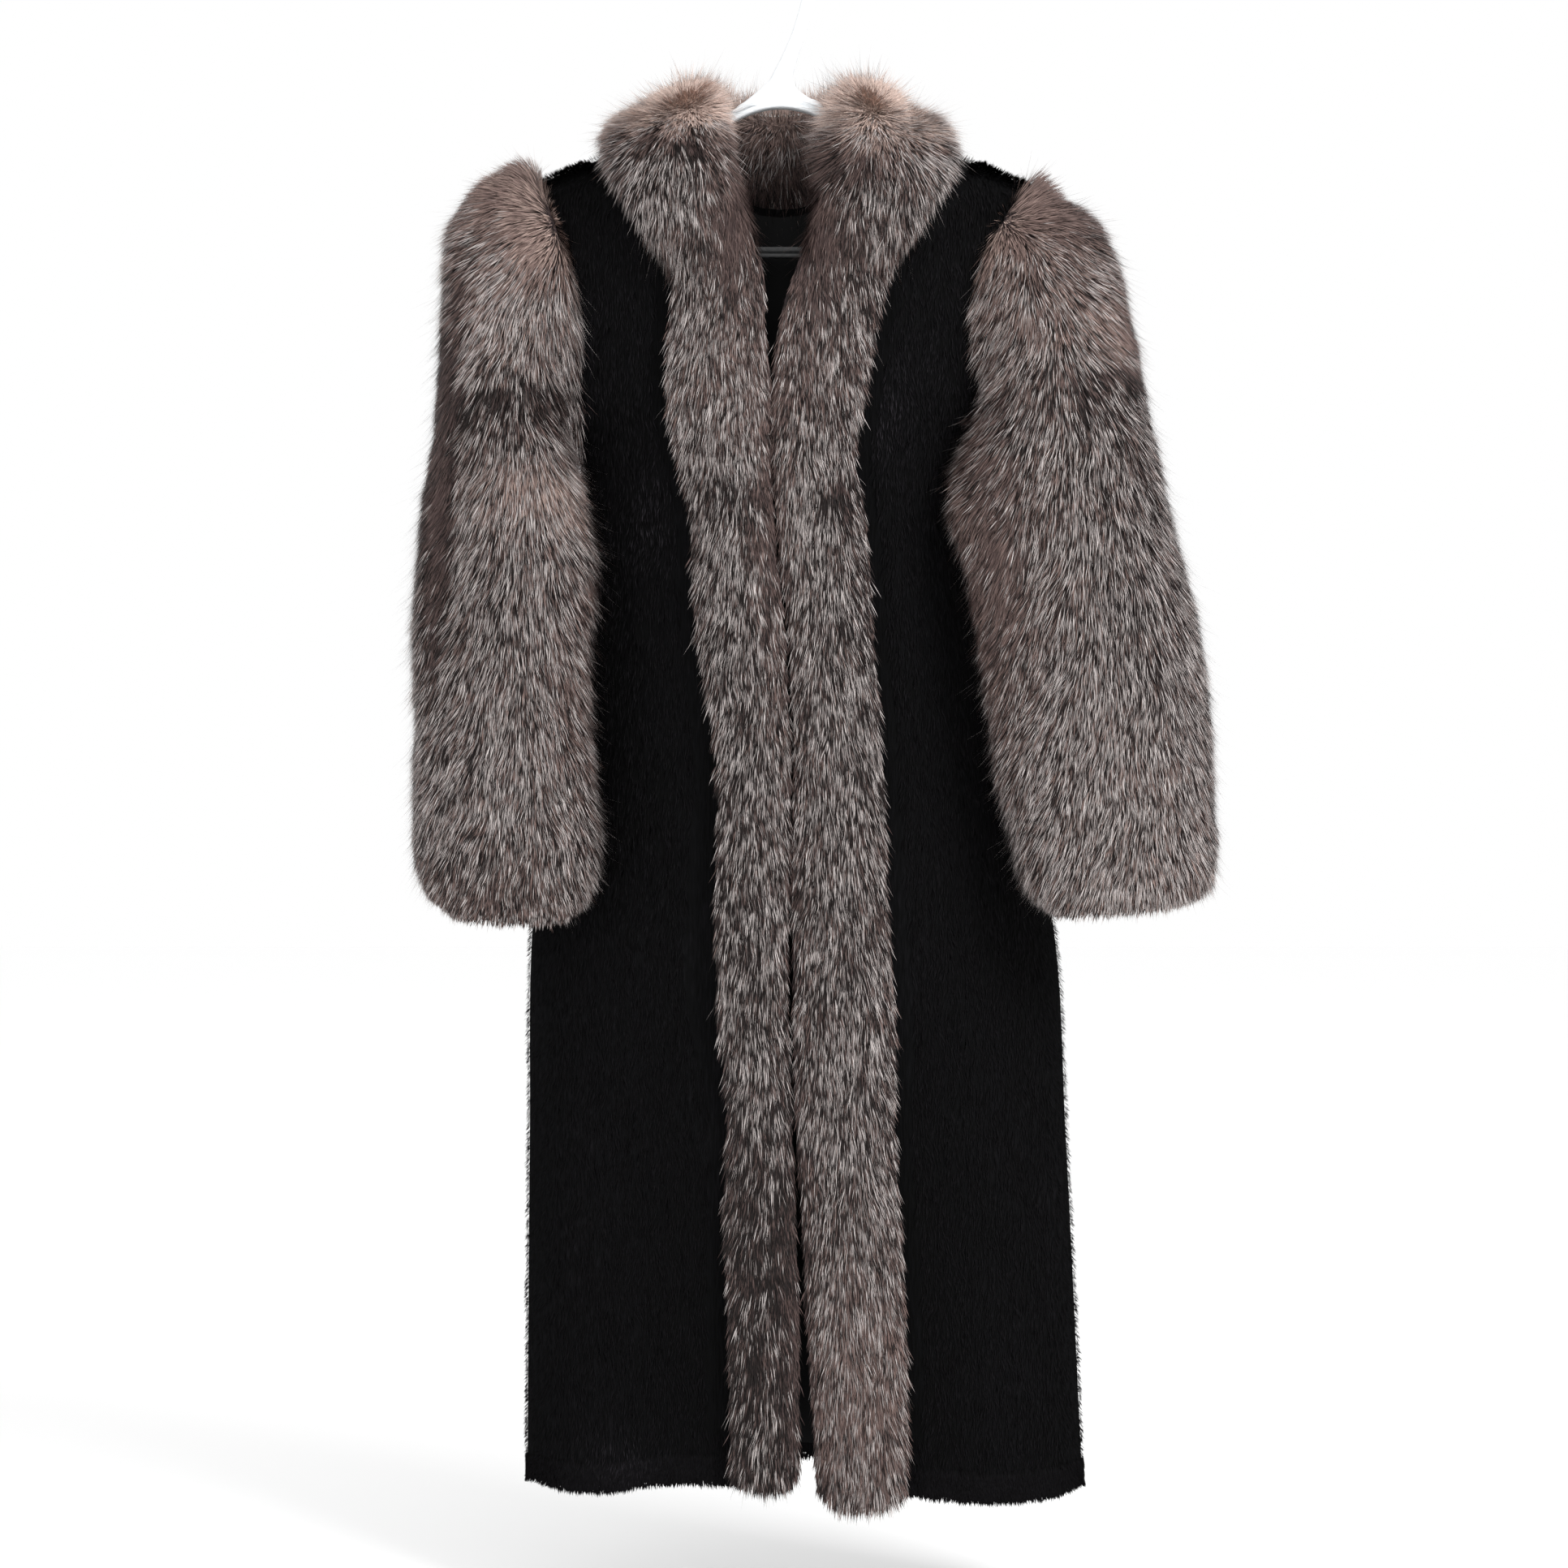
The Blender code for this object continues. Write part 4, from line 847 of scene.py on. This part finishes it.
for name, x_sign in (("sleeve_left", -1), ("sleeve_right", 1)):
    shell = [sleeve_net(x_sign, 64, 80, inset)[:, :-1] for inset in (SKIN_DEPTH, WOOL_DEPTH)]
    sleeve = sheet_mesh(name + "_fox", *shell, wool, wrapped=True)
    net = sleeve_net(x_sign, 96, 160, WOOL_DEPTH)
    out = normals(net, net - net[:, :-1].mean(axis=1, keepdims=True))
    _, _, roots, away = scatter(net, out, SLEEVE_HAIRS, 21 + x_sign)
    x, z = roots[:, 0], roots[:, 2]
    inner_x, outer_x = (smooth(z, SLEEVES[x_sign]["out_z"], SLEEVES[x_sign][k]) * x_sign for k in ("in_x", "out_x"))
    aside = (x - (inner_x + outer_x) / 2) / np.abs(outer_x - inner_x) * 2
    radial = xyz(x - HEAD[x_sign][0], 0, z - HEAD[x_sign][1])
    near_head = bell(np.linalg.norm(radial, axis=-1) / HEAD_REACH)[:, None]
    gathers = near_head[:, 0] ** 8
    radial[:, 0] = x_sign * np.maximum(x_sign * radial[:, 0], -0.25 * np.abs(radial[:, 2]))
    lean = 0.35 * aside - 0.14 * (1 - aside**2)
    lie = xyz(lean, 0, -1) * (1 - near_head) + unit(radial) * near_head
    lie = combed(lie, x, z, SLEEVE_STROKES)
    cuff, low = ramp((CUFF_FROM - z) / 0.03), ramp((LOW_FROM - z) / 0.20)
    length = SLEEVE_LENGTH * (1 - 0.20 * low + 0.20 * near_head[:, 0]) * (1 - 0.40 * cuff)
    bodyward = ramp(-x_sign * away[:, 0]) * near_head[:, 0]
    lift = (0.30 + 0.06 * ramp(-x_sign * aside) + 0.40 * gathers) * (1 - 0.7 * bodyward)
    warm, light = tinted(x, z, 0.20 + 0.7 * gathers, 0.34 + 0.50 * gathers, SLEEVE_TINTS)
    # Painted shade in the creases, on the sleeves' fronts only
    creased = tinted(x, z, 0, 0, CREASE_PAINTED_SHADE)
    front = ramp(-2 * away[:, 1])
    warm, light = warm + front * creased[0], joined(x, z, light, SLEEVE_JOINS) + front * creased[1]
    seeds = 31 + x_sign, 41 + x_sign
    hairs = guard_hairs(name + "_guard_hairs", roots, away, lie, length, lift, warm, light, seeds)
    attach(hairs, "root")
    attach(sleeve, "root")
    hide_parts(name)


# ---------------------------------------------------------------- fox front borders
# Strips of the same fox, 60 to 110 mm wide with their hair, sewn along both front edges from the collar to just
# below the hem. Their hairs run down and spread out over the strips' edges.

BORDER_FUR, BORDER_EDGE = 0.030, 0.28  # greatest depth of the fur, and the share of it that is left at the edges
BORDER_GAP = 0.0006  # between a border and the leather under it
BORDER_HEMS = {-1: -1.379, 1: -1.402}
BORDER_HAIRS, BORDER_LENGTH = 94000, 0.022
# How far inside a border's inner and outer edge its hairs are rooted: they reach on over the edges
BORDER_ROOTS = {
    -1: table("""z inner outer
-.29 .008 .012
-.34 .006 .011
-.4 .0026 .0105
-.62 .0035 .01
-.75 .0027 .0135
-.82 .0034 .017
-.975 .0036 .0165
-1.01 .0038 .01
-1.09 .0042 .005
-1.18 .0048 .01
-1.29 .0055 .011
-1.379 .003 .006"""),
    1: table("""z inner outer
-.29 .008 .011
-.34 .006 .011
-.4 .0026 .011
-.48 .0036 .0085
-.62 .0035 .0085
-.75 .0027 .009
-.96 .0036 .0095
-1.02 .0038 .008
-1.18 .004 .008
-1.29 .003 .0085
-1.402 -.001 .013"""),
}
BORDER_SHORT = {-1: 0.025, 1: 0.030}  # how far above its lower end the last hairs are rooted
# Browner skins at the chest and the dark tufts under them, the left border's dark lower half and the right one's
# brown foot
BORDER_TINTS = table("""x z half_x half_z warmer lighter
-.042 -.29 .02 .05 .45 -.1
.03 -.29 .022 .05 .45 -.1
-.065 -.28 .05 .03 .2 -.08
.065 -.28 .05 .03 .25 -.12
-.05 -.385 .05 .06 .3 .05
.03 -.37 .05 .07 .3 -.02
-.05 -.488 .035 .014 0 -.14
.05 -.488 .018 .016 0 -.2
-.01 -.54 .016 .12 .5 -.05
.02 -.5 .02 .04 0 .12
-.05 -.9 .05 .28 0 -.08
-.03 -1.23 .05 .2 .05 -.16
.06 -.9 .04 .3 .04 -.03
.01 -1.2 .014 .15 .2 -.2
.075 -1.27 .05 .12 .55 .06""")


def border_net(x_sign, columns, rows, depth, deeper=0.0):
    """A border at a share of its fur's depth over the front's leather, between its hairs' outermost roots. Across
    the whole border, with p from -1 to 1, the depth falls to its edges' by sqrt(1 - |p|^2.4), and the lower end is
    rounded: higher by 12 mm times |p|^3. Gives also p."""
    edges, rests = BORDERS[x_sign], BORDER_ROOTS[x_sign]
    share, down = np.meshgrid(np.linspace(0, 1, columns), np.linspace(0, 1, rows))
    foot = BORDER_HEMS[x_sign] + BORDER_SHORT[x_sign] + 0.012 * np.abs(2 * share - 1) ** 3 - deeper
    z = JOIN_Z + (foot - JOIN_Z) * down
    inner, outer = (smooth(z, edges["z"], edges[k]) for k in ("inner", "outer"))
    first, last = (smooth(z, rests["z"], rests[k]) - deeper / 2 for k in ("inner", "outer"))
    reach = inner + first + (outer - last - inner - first) * share
    p = 2 * (reach - inner) / (outer - inner) - 1
    x = x_sign * reach
    hem = smooth(x, HEM["x"], HEM["front"])
    crown = BORDER_FUR * (BORDER_EDGE + (1 - BORDER_EDGE) * np.sqrt(ramp(1 - np.abs(p) ** 2.4)))
    y = skin_y(x, np.maximum(z, hem), -1) - LEATHER - BORDER_GAP - depth * crown
    return xyz(x, y, z), p


for side_name, x_sign in (("left", -1), ("right", 1)):
    name = "front_border_" + side_name
    nets = [border_net(x_sign, 13, 100, depth, 0.003)[0] for depth in (0.0, 0.5)]
    border = sheet_mesh(name + "_fox", *nets, wool)
    net, p = border_net(x_sign, 25, 200, 0.55)
    out = normals(net, (0, -1, 0))
    row, column, roots, away = scatter(net, out, BORDER_HAIRS, 51 + x_sign)
    p = read(p[..., None], row, column)[:, 0]
    splay = x_sign * np.where(p < 0, 0.10 * p * (1 - p**4), 0.20 * p + 0.08 * p**4)
    lie = xyz(splay, 0, -1)
    edge = np.abs(p) ** 3
    warm, light = tinted(roots[:, 0], roots[:, 2], 0.11 + 0.28 * edge, 0.22 - 0.04 * edge, BORDER_TINTS)
    # Painted shade: hairs near the inner edge are darker, for the valley where the two borders meet
    light = light - 0.15 * bell((p + 1) / 0.10)
    length, lift, seeds = BORDER_LENGTH - 0.006 * edge, 0.30 - 0.06 * edge, (61 + x_sign, 71 + x_sign)
    look = dict(sway=0.13 - 0.10 * edge, tuft=0.45 - 0.35 * edge, wisps=0.05 - 0.04 * edge)
    hairs = guard_hairs(name + "_guard_hairs", roots, away, lie, length, lift, warm, light, seeds, **look)
    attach(hairs, "root")
    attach(border, "root")
    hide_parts(name)


# ---------------------------------------------------------------- fox collar
# One thick roll of the lightest fox over padding, sewn to the borders' tops. It stands up beside the neck in two
# puffs and goes round the back, where its inner face shows in the neck opening.

# The roll's middle line and half sizes, from its seam with a border, over the shoulder, to the middle of the back
COLLAR = table("""x y z half_width half_thick
.0577 -.054 -.29 .047 .023
.068 -.058 -.262 .051 .025
.082 -.06 -.232 .055 .027
.094 -.055 -.204 .059 .03
.101 -.038 -.176 .062 .033
.103 -.01 -.158 .063 .034
.1 .024 -.156 .062 .034
.086 .054 -.162 .06 .033
.061 .073 -.172 .059 .031
.031 .082 -.181 .059 .03
0 .085 -.185 .06 .029""")
COLLAR_WOOL = 0.013  # depth of the guard hairs over the roll's wool
COLLAR_HAIRS, COLLAR_LENGTH = 150000, 0.024
COLLAR_STATIONS, COLLAR_SIDES = 90, 48
COLLAR_GAP = 0.001  # between the roll's wool and the body's pile in front and behind
# Painted shade: low down behind the neck the roll takes the darker wool, for the shade inside the coat
BEHIND_Y, PAINTED_SHADE_UNDER_Z, PALE_OVER_Z = 0.02, -0.185, -0.182  # the wool is dark low down behind, pale in the caps
CAP_SPREAD = 0.45  # how much the caps' hairs fan out sideways from where they part
CROWN_X, CROWN_Z = {-1: -0.089, 1: 0.082}, -0.137  # where they part, on either side
# The tan fold along the inner edges, the light caps of the puffs and the dark break under them
COLLAR_TINTS = table("""x z half_x half_z warmer lighter
-.042 -.23 .02 .07 .85 -.16
.03 -.23 .022 .07 .8 -.16
-.15 -.165 .035 .035 .35 -.05
-.089 -.186 .03 .009 .2 -.3
.07 -.205 .03 .012 .3 -.25
.115 -.19 .035 .03 .1 .18
.08 -.19 .03 .014 .3 .12
-.065 -.27 .05 .035 .2 -.1
.065 -.27 .05 .035 .3 -.14""")
# Where the roll is less full than its ovals: the tops and outer ends of the caps, most on the right
COLLAR_DENTS = table("""x z half_x half_z depth
-.085 -.125 .07 .026 .012
-.155 -.14 .035 .03 .022
.085 -.125 .06 .026 .01
.15 -.138 .045 .036 .033""")


def collar_net(stations, sides, inset):
    """Ovals cos(a)^0.85 by sin(a)^0.85 carried along the collar's path, their width turned away from the neck
    and down, drawn in by inset. Gives also the path."""
    fractions = np.linspace(0, 1, stations)
    keys = np.linspace(0, 1, 2 * len(COLLAR["x"]) - 1)
    whole = {}
    for name, column in COLLAR.items():
        mirrored = -column if name == "x" else column
        whole[name] = smooth(fractions, keys, np.concatenate([mirrored, column[-2::-1]]))
    centre = xyz(whole["x"], whole["y"], whole["z"])
    along = np.gradient(centre, axis=0)
    along[0], along[-1] = (0, 0, 1), (0, 0, -1)
    along = unit(along)
    x, y = centre[:, 0], centre[:, 1]
    aim = xyz(x, 0, -0.35 * np.abs(x) - 1.2 * np.clip(y, 0, None))
    wide = unit(aim - (aim * along).sum(-1, keepdims=True) * along)
    thick = np.cross(along, wide)
    turn = np.linspace(0, 2 * np.pi, sides + 1)
    across, up = (np.sign(f(turn)) * np.abs(f(turn)) ** 0.85 for f in (np.cos, np.sin))
    half_width, half_thick = whole["half_width"] - inset, whole["half_thick"] - inset
    net = (
        centre[:, None]
        + (half_width[:, None] * across)[:, :, None] * wide[:, None]
        + (half_thick[:, None] * up)[:, :, None] * thick[:, None]
    )
    net[0, :, 2] = net[-1, :, 2] = JOIN_Z
    return net, centre


def laid_on_body(net):
    """Points inside the body moved the shortest way to its fur side: up over the shoulders, or out to the front
    or the back."""
    x, y, z = (net[..., k] for k in range(3))
    front, back = (skin_y(x, z, side) + side * (PILE + COLLAR_GAP) for side in (-1, 1))
    top = shoulder_z(x) + PILE
    depths = np.stack([y - front, back - y, top - z])
    inside = (depths > 0).all(axis=0) & (np.abs(x) < TIP_X)
    nearest = depths.argmin(axis=0)
    moved = net.copy()
    for number, (axis, surface) in enumerate(((1, front), (1, back), (2, top))):
        moved[..., axis] = np.where(inside & (nearest == number), surface, moved[..., axis])
    return moved


def closed_loft(name, rings, finish):
    """A solid through rings of points, its two ends closed."""
    stations, sides = rings.shape[:2]
    at = np.arange(stations * sides).reshape(stations, sides)
    over = np.roll(at, -1, axis=1)
    quads = np.stack([at[:-1], at[1:], over[1:], over[:-1]], axis=-1).reshape(-1, 4).tolist()
    return mesh_piece(name, rings.reshape(-1, 3), quads + [at[0].tolist(), at[-1, ::-1].tolist()], finish)


net, path = collar_net(COLLAR_STATIONS, COLLAR_SIDES, COLLAR_WOOL)
inward = unit(path[:, None] - net)
for x, z, half_x, half_z, depth in zip(*COLLAR_DENTS.values()):
    spot = np.exp(-(((net[..., 0] - x) / half_x) ** 2) - ((net[..., 2] - z) / half_z) ** 2)
    net = net + (depth * spot)[..., None] * inward
net = laid_on_body(net)
collar = closed_loft("collar_fox", net[:, :-1], fox_wool("silver_fox_collar_wool", "#3a2f2e", "#85716a"))
collar.data.materials.append(wool)
collar.data.materials.append(fox_wool("silver_fox_cap_wool", "#57483f", "#b39b8e"))
centres = np.empty(3 * len(collar.data.polygons), np.float32)
collar.data.polygons.foreach_get("center", centres)
_, y, z = centres.reshape(-1, 3).T.astype(float)
finishes = np.select([(y > BEHIND_Y) & (z < PAINTED_SHADE_UNDER_Z), (y < BEHIND_Y) & (z > PALE_OVER_Z)], [1, 2], 0)
collar.data.polygons.foreach_set("material_index", finishes.astype(np.int32))
out = normals(net, net - path[:, None])
_, _, roots, away = scatter(net, out, COLLAR_HAIRS, 81)
x, y, z = roots.T
rear = ramp((y - 0.01) / 0.045)  # the roll behind the neck
neck = rear * ramp(0.6 - 2 * away[:, 1])  # the back's inner face, which shows in the neck opening
crest = rear * ramp((away[:, 2] - 0.3) / 0.4)  # its upper edge, where the hairs stand up
under = rear * ramp((-away[:, 2] - 0.1) / 0.5)  # its lower edge, from which they hang
brim = np.exp(-(((x - 0.048) / 0.022) ** 2) - ((z + 0.180) / 0.035) ** 2) * (1 - rear)  # over the hanger's arch
from_crown = x - np.where(x < 0, CROWN_X[-1], CROWN_X[1])
radial = unit(xyz(CAP_SPREAD * from_crown, 0.03 * np.abs(away[:, 0]), z - CROWN_Z))
down_band = ramp((-0.20 - z) / 0.05)[:, None]
lie = radial * (1 - 0.8 * down_band) + np.array((0, 0, -1)) * down_band
fan = unit(xyz(x, 0, z + 0.125))
nape = unit(xyz(2 * x, 0.5, -1))
lie = lie * (1 - rear)[:, None] + fan * neck[:, None] + nape * (rear - neck)[:, None]
lie = lie * (1 - crest)[:, None] + np.array((0, 0.2, 1)) * crest[:, None]
lie = lie + np.array((-1, 0, -0.2)) * brim[:, None]
cap = ramp((z + 0.190 + 0.006 * waver(roots, 0.02, 84)) / 0.028) * ramp((0.05 - y) / 0.09)
middle = bell(np.hypot(from_crown, z - CROWN_Z) / 0.030) * (1 - rear)
warm, light = tinted(x, z, 0.15 + 0.55 * cap + 0.50 * middle, 0.26 + 0.70 * cap + 0.30 * middle, COLLAR_TINTS)
# Painted shade: low on the roll's inner face behind the neck, down into the coat, the hairs are darker and less tan
deep = rear * ramp(-0.3 - 5 * away[:, 1]) * ramp((-0.135 - z) / 0.075)
warm, light = warm + 0.65 * neck - 0.65 * deep, light + 0.40 * neck - 0.95 * deep + 0.30 * crest
length = COLLAR_LENGTH - 0.002 * cap + 0.005 * middle + 0.008 * neck + 0.006 * deep - 0.003 * crest + 0.012 * brim
lift = 0.30 + 0.05 * middle + 0.30 * crest + 0.90 * under + 0.45 * brim
stray = 0.14 + 0.12 * cap + 0.50 * middle + 0.15 * neck + 0.20 * crest
tuft = 0.40 - 0.08 * cap - 0.20 * middle - 0.35 * crest * (1 - cap)
look = dict(thinned=1 - 0.5 * crest, stray=stray, tuft=tuft, wisps=0.07 + 0.10 * cap)
hairs = guard_hairs("collar_guard_hairs", roots, away, lie, length, lift, warm, light, (82, 83), **look)
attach(hairs, "root")
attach(collar, "root")
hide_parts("collar")


# ---------------------------------------------------------------- hanger
# A white polystyrene coat hanger, moulded in one piece: a stem that flares like a trumpet into the arch of the
# arms, whose underside is a rounded rim set off by a groove. A ribbed bar joins the arms' ends, its dark grey
# painted shade for the coat that hangs round it.

HOOK_RADIUS, HOOK_HALF_WIDE, HOOK_HALF_DEEP = 0.0275, 0.0055, 0.0045
HOOK_END = 205  # degrees round from the side where the stem comes in
ARM_TOP, ARM_SEAT = 0.005, 0.0007  # from an arm's path up to its top, and on to the shoulder seam over it
SEAT_END_X = 0.188
# Rounded ribs that a section is made of: the middle and half height of each, and its half depth
ARM_RIBS = table("""middle half_tall half_deep
-.0021 .0029 .006
.0037 .0013 .0053""")
BAR_RIBS = table("""middle half_tall half_deep
.00235 .00265 .004
-.00275 .00225 .0038""")
GROOVE = 0.0034  # how much less deep than its deepest rib a section is in its grooves
# The arm in X and Z: from the arch's middle down to the shoulder seam, and round its end to the bar
ARCH = np.array([(0.0, -0.1458), (0.020, -0.1485), (0.045, -0.1590), (0.068, -0.1725)])
ARM_END = np.array([(0.1985, -0.2360), (0.1980, -0.2580), (0.1880, -0.2735), (0.1720, -0.2782), (0.1650, -0.2782)])
BAR_HALF_LENGTH, BAR_Z = 0.1647, -0.2782
STEM = table("""x z half_wide half_deep
0 -.1436 .046 .0053
0 -.14 .037 .0054
0 -.1377 .0265 .0055
.0002 -.1335 .0182 .0055
.0008 -.129 .0128 .0055
.0022 -.121 .009 .0055
.0097 -.1008 .0066 .0052
.0166 -.0821 .006 .005
.0237 -.056 .0056 .0048
.027 -.038 .0055 .0046""")
STEM_SIDES = 28
FLARE_FROM, FLARE_DEPTH = -0.125, 0.019  # where the stem's sections start to bend to the arch, and how far below


def moulded_plastic(name, dark, light, roughness):
    """Injection moulded polystyrene, half gloss, with a faint cloudy mottle about 3 mm across."""
    mottle, shades = [((330, 330, 330), 3.0)], f"0.35 {dark} 0.65 {light}"
    return grained(name, mottle, shades, 0.06, 0.0005, Roughness=roughness, IOR=1.59)


def ribbed_section(ribs):
    """Half depths of a section at heights down it: the greatest of its ribs, each half_deep times
    (1 - |height / half_tall|^3)^(1/3), and GROOVE less than the deepest one in the grooves between them."""
    top, foot = (ribs["middle"] + ribs["half_tall"]).max(), (ribs["middle"] - ribs["half_tall"]).min()
    height = (top + foot) / 2 + (top - foot) / 2 * np.cos(np.linspace(0, np.pi, 25))
    from_rib = (height[:, None] - ribs["middle"]) / ribs["half_tall"]
    deep = (ribs["half_deep"] * np.cbrt(ramp(1 - np.abs(from_rib) ** 3))).max(axis=1)
    inside = (height < top - 0.001) & (height > foot + 0.001)
    return height, np.where(inside, np.maximum(deep, ribs["half_deep"].max() - GROOVE), deep)


def carried(path, height, depth):
    """Sections carried square along a path in the XZ plane: heights in that plane and depths in Y, for each
    station or for all of them."""
    along = unit(np.gradient(path, axis=0))
    up = np.stack([-along[:, 1], along[:, 0]], axis=-1)
    height, depth = (np.broadcast_to(values, (len(path), np.shape(values)[-1])) for values in (height, depth))
    x, z = (path[:, k, None] + up[:, k, None] * height for k in (0, 1))
    return xyz(x, depth, z)


def ribbed_loft(name, path, ribs, finish):
    """A bar of ribbed section along a path, its ends closed."""
    height, deep = ribbed_section(ribs)
    round_heights, round_depths = np.concatenate([height, height[-2:0:-1]]), np.concatenate([-deep, deep[-2:0:-1]])
    return closed_loft(name, carried(path, round_heights, round_depths), finish)


white_plastic = moulded_plastic("white_moulded_polystyrene", "#dfe3e6", "#eaedef", 0.32)
# Painted shade: the bar's plastic is coloured dark grey for the coat's shadow over it
shaded_bar_plastic = moulded_plastic("moulded_bar_painted_shade", "#323334", "#444546", 0.45)

slope = (TIP_Z - NECK_Z) / (TIP_X - NECK_X)
arm_x = np.linspace(NECK_X, SEAT_END_X, 4)
under_seam = np.stack([arm_x, shoulder_z(arm_x) - (ARM_TOP + ARM_SEAT) * np.hypot(1, slope)], axis=-1)
right_arm = np.concatenate([ARCH, under_seam, ARM_END])
keys = np.concatenate([right_arm[:0:-1] * (-1, 1), right_arm])
distance = np.concatenate([[0], np.cumsum(np.linalg.norm(np.diff(keys, axis=0), axis=-1))])
path = smooth(np.linspace(0, distance[-1], 141), distance, keys)
arms = ribbed_loft("hanger_moulding", path, ARM_RIBS, white_plastic)

turn = np.radians(np.linspace(0, HOOK_END, 30))
hook = np.stack([np.cos(turn), np.sin(turn)], axis=-1) * HOOK_RADIUS + (0, HOOK_HALF_WIDE - HOOK_RADIUS)
rows = np.arange(len(STEM["x"]))
stem = {key: smooth(np.linspace(0, rows[-1], 40), rows, column) for key, column in STEM.items()}
path = np.concatenate([np.stack([stem["x"], stem["z"]], axis=-1), hook])
wide = np.concatenate([stem["half_wide"], np.full(len(hook), HOOK_HALF_WIDE)])
deep = np.concatenate([stem["half_deep"], np.full(len(hook), HOOK_HALF_DEEP)])
around = 2 * np.pi * (np.arange(STEM_SIDES) + 0.5) / STEM_SIDES
across, through = (np.sign(f(around)) * np.abs(f(around)) ** power for f, power in ((np.cos, 0.8), (np.sin, 0.6)))
rings = carried(path, wide[:, None] * across, deep[:, None] * through)
arch_drop = smooth(np.abs(rings[..., 0]), ARCH[:, 0], ARCH[:, 1]) - ARCH[0, 1]
rings[..., 2] += arch_drop * ramp((FLARE_FROM - rings[..., 2]) / FLARE_DEPTH)
stem_and_hook = closed_loft("stem_and_hook", rings, white_plastic)

union = arms.modifiers.new("union", "BOOLEAN")
union.operation, union.solver, union.object = "UNION", "EXACT", stem_and_hook
moulding = bpy.data.meshes.new_from_object(arms.evaluated_get(bpy.context.evaluated_depsgraph_get()))
arms.modifiers.clear()
arms.data = moulding
arms.data.shade_smooth()
arms.data.set_sharp_from_angle(angle=np.radians(40))
bpy.data.objects.remove(stem_and_hook, do_unlink=True)
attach(arms, "root")
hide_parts("hanger")

path = np.stack([np.linspace(-BAR_HALF_LENGTH, BAR_HALF_LENGTH, 40), np.full(40, BAR_Z)], axis=-1)
bar = ribbed_loft("trouser_bar", path, BAR_RIBS, shaded_bar_plastic)
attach(bar, "root")
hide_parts("hanger_bar")


# ---------------------------------------------------------------- studio
# A pale floor under the hanging coat, even light from all round and two large soft lamps in front of it.

FLOOR_Z, FLOOR_REACH = -1.475, 12
floor_mesh = bpy.data.meshes.new("floor")
corners = [(x * FLOOR_REACH, y * FLOOR_REACH, FLOOR_Z) for x, y in ((-1, -1), (1, -1), (1, 1), (-1, 1))]
floor_mesh.from_pydata(corners, [], [(0, 1, 2, 3)])
floor = linked("floor", floor_mesh)
pale, _, _ = new_material("pale_floor", Base_Color=linear("#fefefe"), Roughness=0.8, Specular_IOR_Level=0.1)
floor_mesh.materials.append(pale)
floor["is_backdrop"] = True

world = bpy.data.worlds.new("even_light")
world.use_nodes = True
world.node_tree.nodes["Background"].inputs["Color"].default_value = linear("#ffffff")
world.node_tree.nodes["Background"].inputs["Strength"].default_value = 1.0
bpy.context.scene.world = world

LAMPS = table("""x y z aim_z size watts
2 -2.2 1.2 -.6 1.4 85
-1.8 -2.6 .2 -.8 2 12""")
for number, (x, y, z, aim_z, size, watts) in enumerate(zip(*LAMPS.values())):
    light = bpy.data.lights.new(f"softbox_{number}", "AREA")
    light.size = size
    light.energy = watts
    lamp = linked(light.name, light)
    lamp.location = (x, y, z)
    towards = np.array((0, 0, aim_z)) - (x, y, z)
    lamp.rotation_mode = "QUATERNION"
    lamp.rotation_quaternion = Vector(towards).to_track_quat("-Z", "Y")

VIEW_X, VIEW_Z, VIEW_WIDTH, VIEW_DISTANCE = 0.003, -0.7495, 1.391, 3.0  # the camera looks square at the front
camera = linked("camera", bpy.data.cameras.new("camera"))
camera.data.lens = camera.data.sensor_width * VIEW_DISTANCE / VIEW_WIDTH
camera.location = (VIEW_X, -VIEW_DISTANCE, VIEW_Z)
camera.rotation_euler = (np.pi / 2, 0, 0)
bpy.context.scene.camera = camera
bpy.context.scene.view_settings.view_transform = "Standard"

low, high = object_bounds()
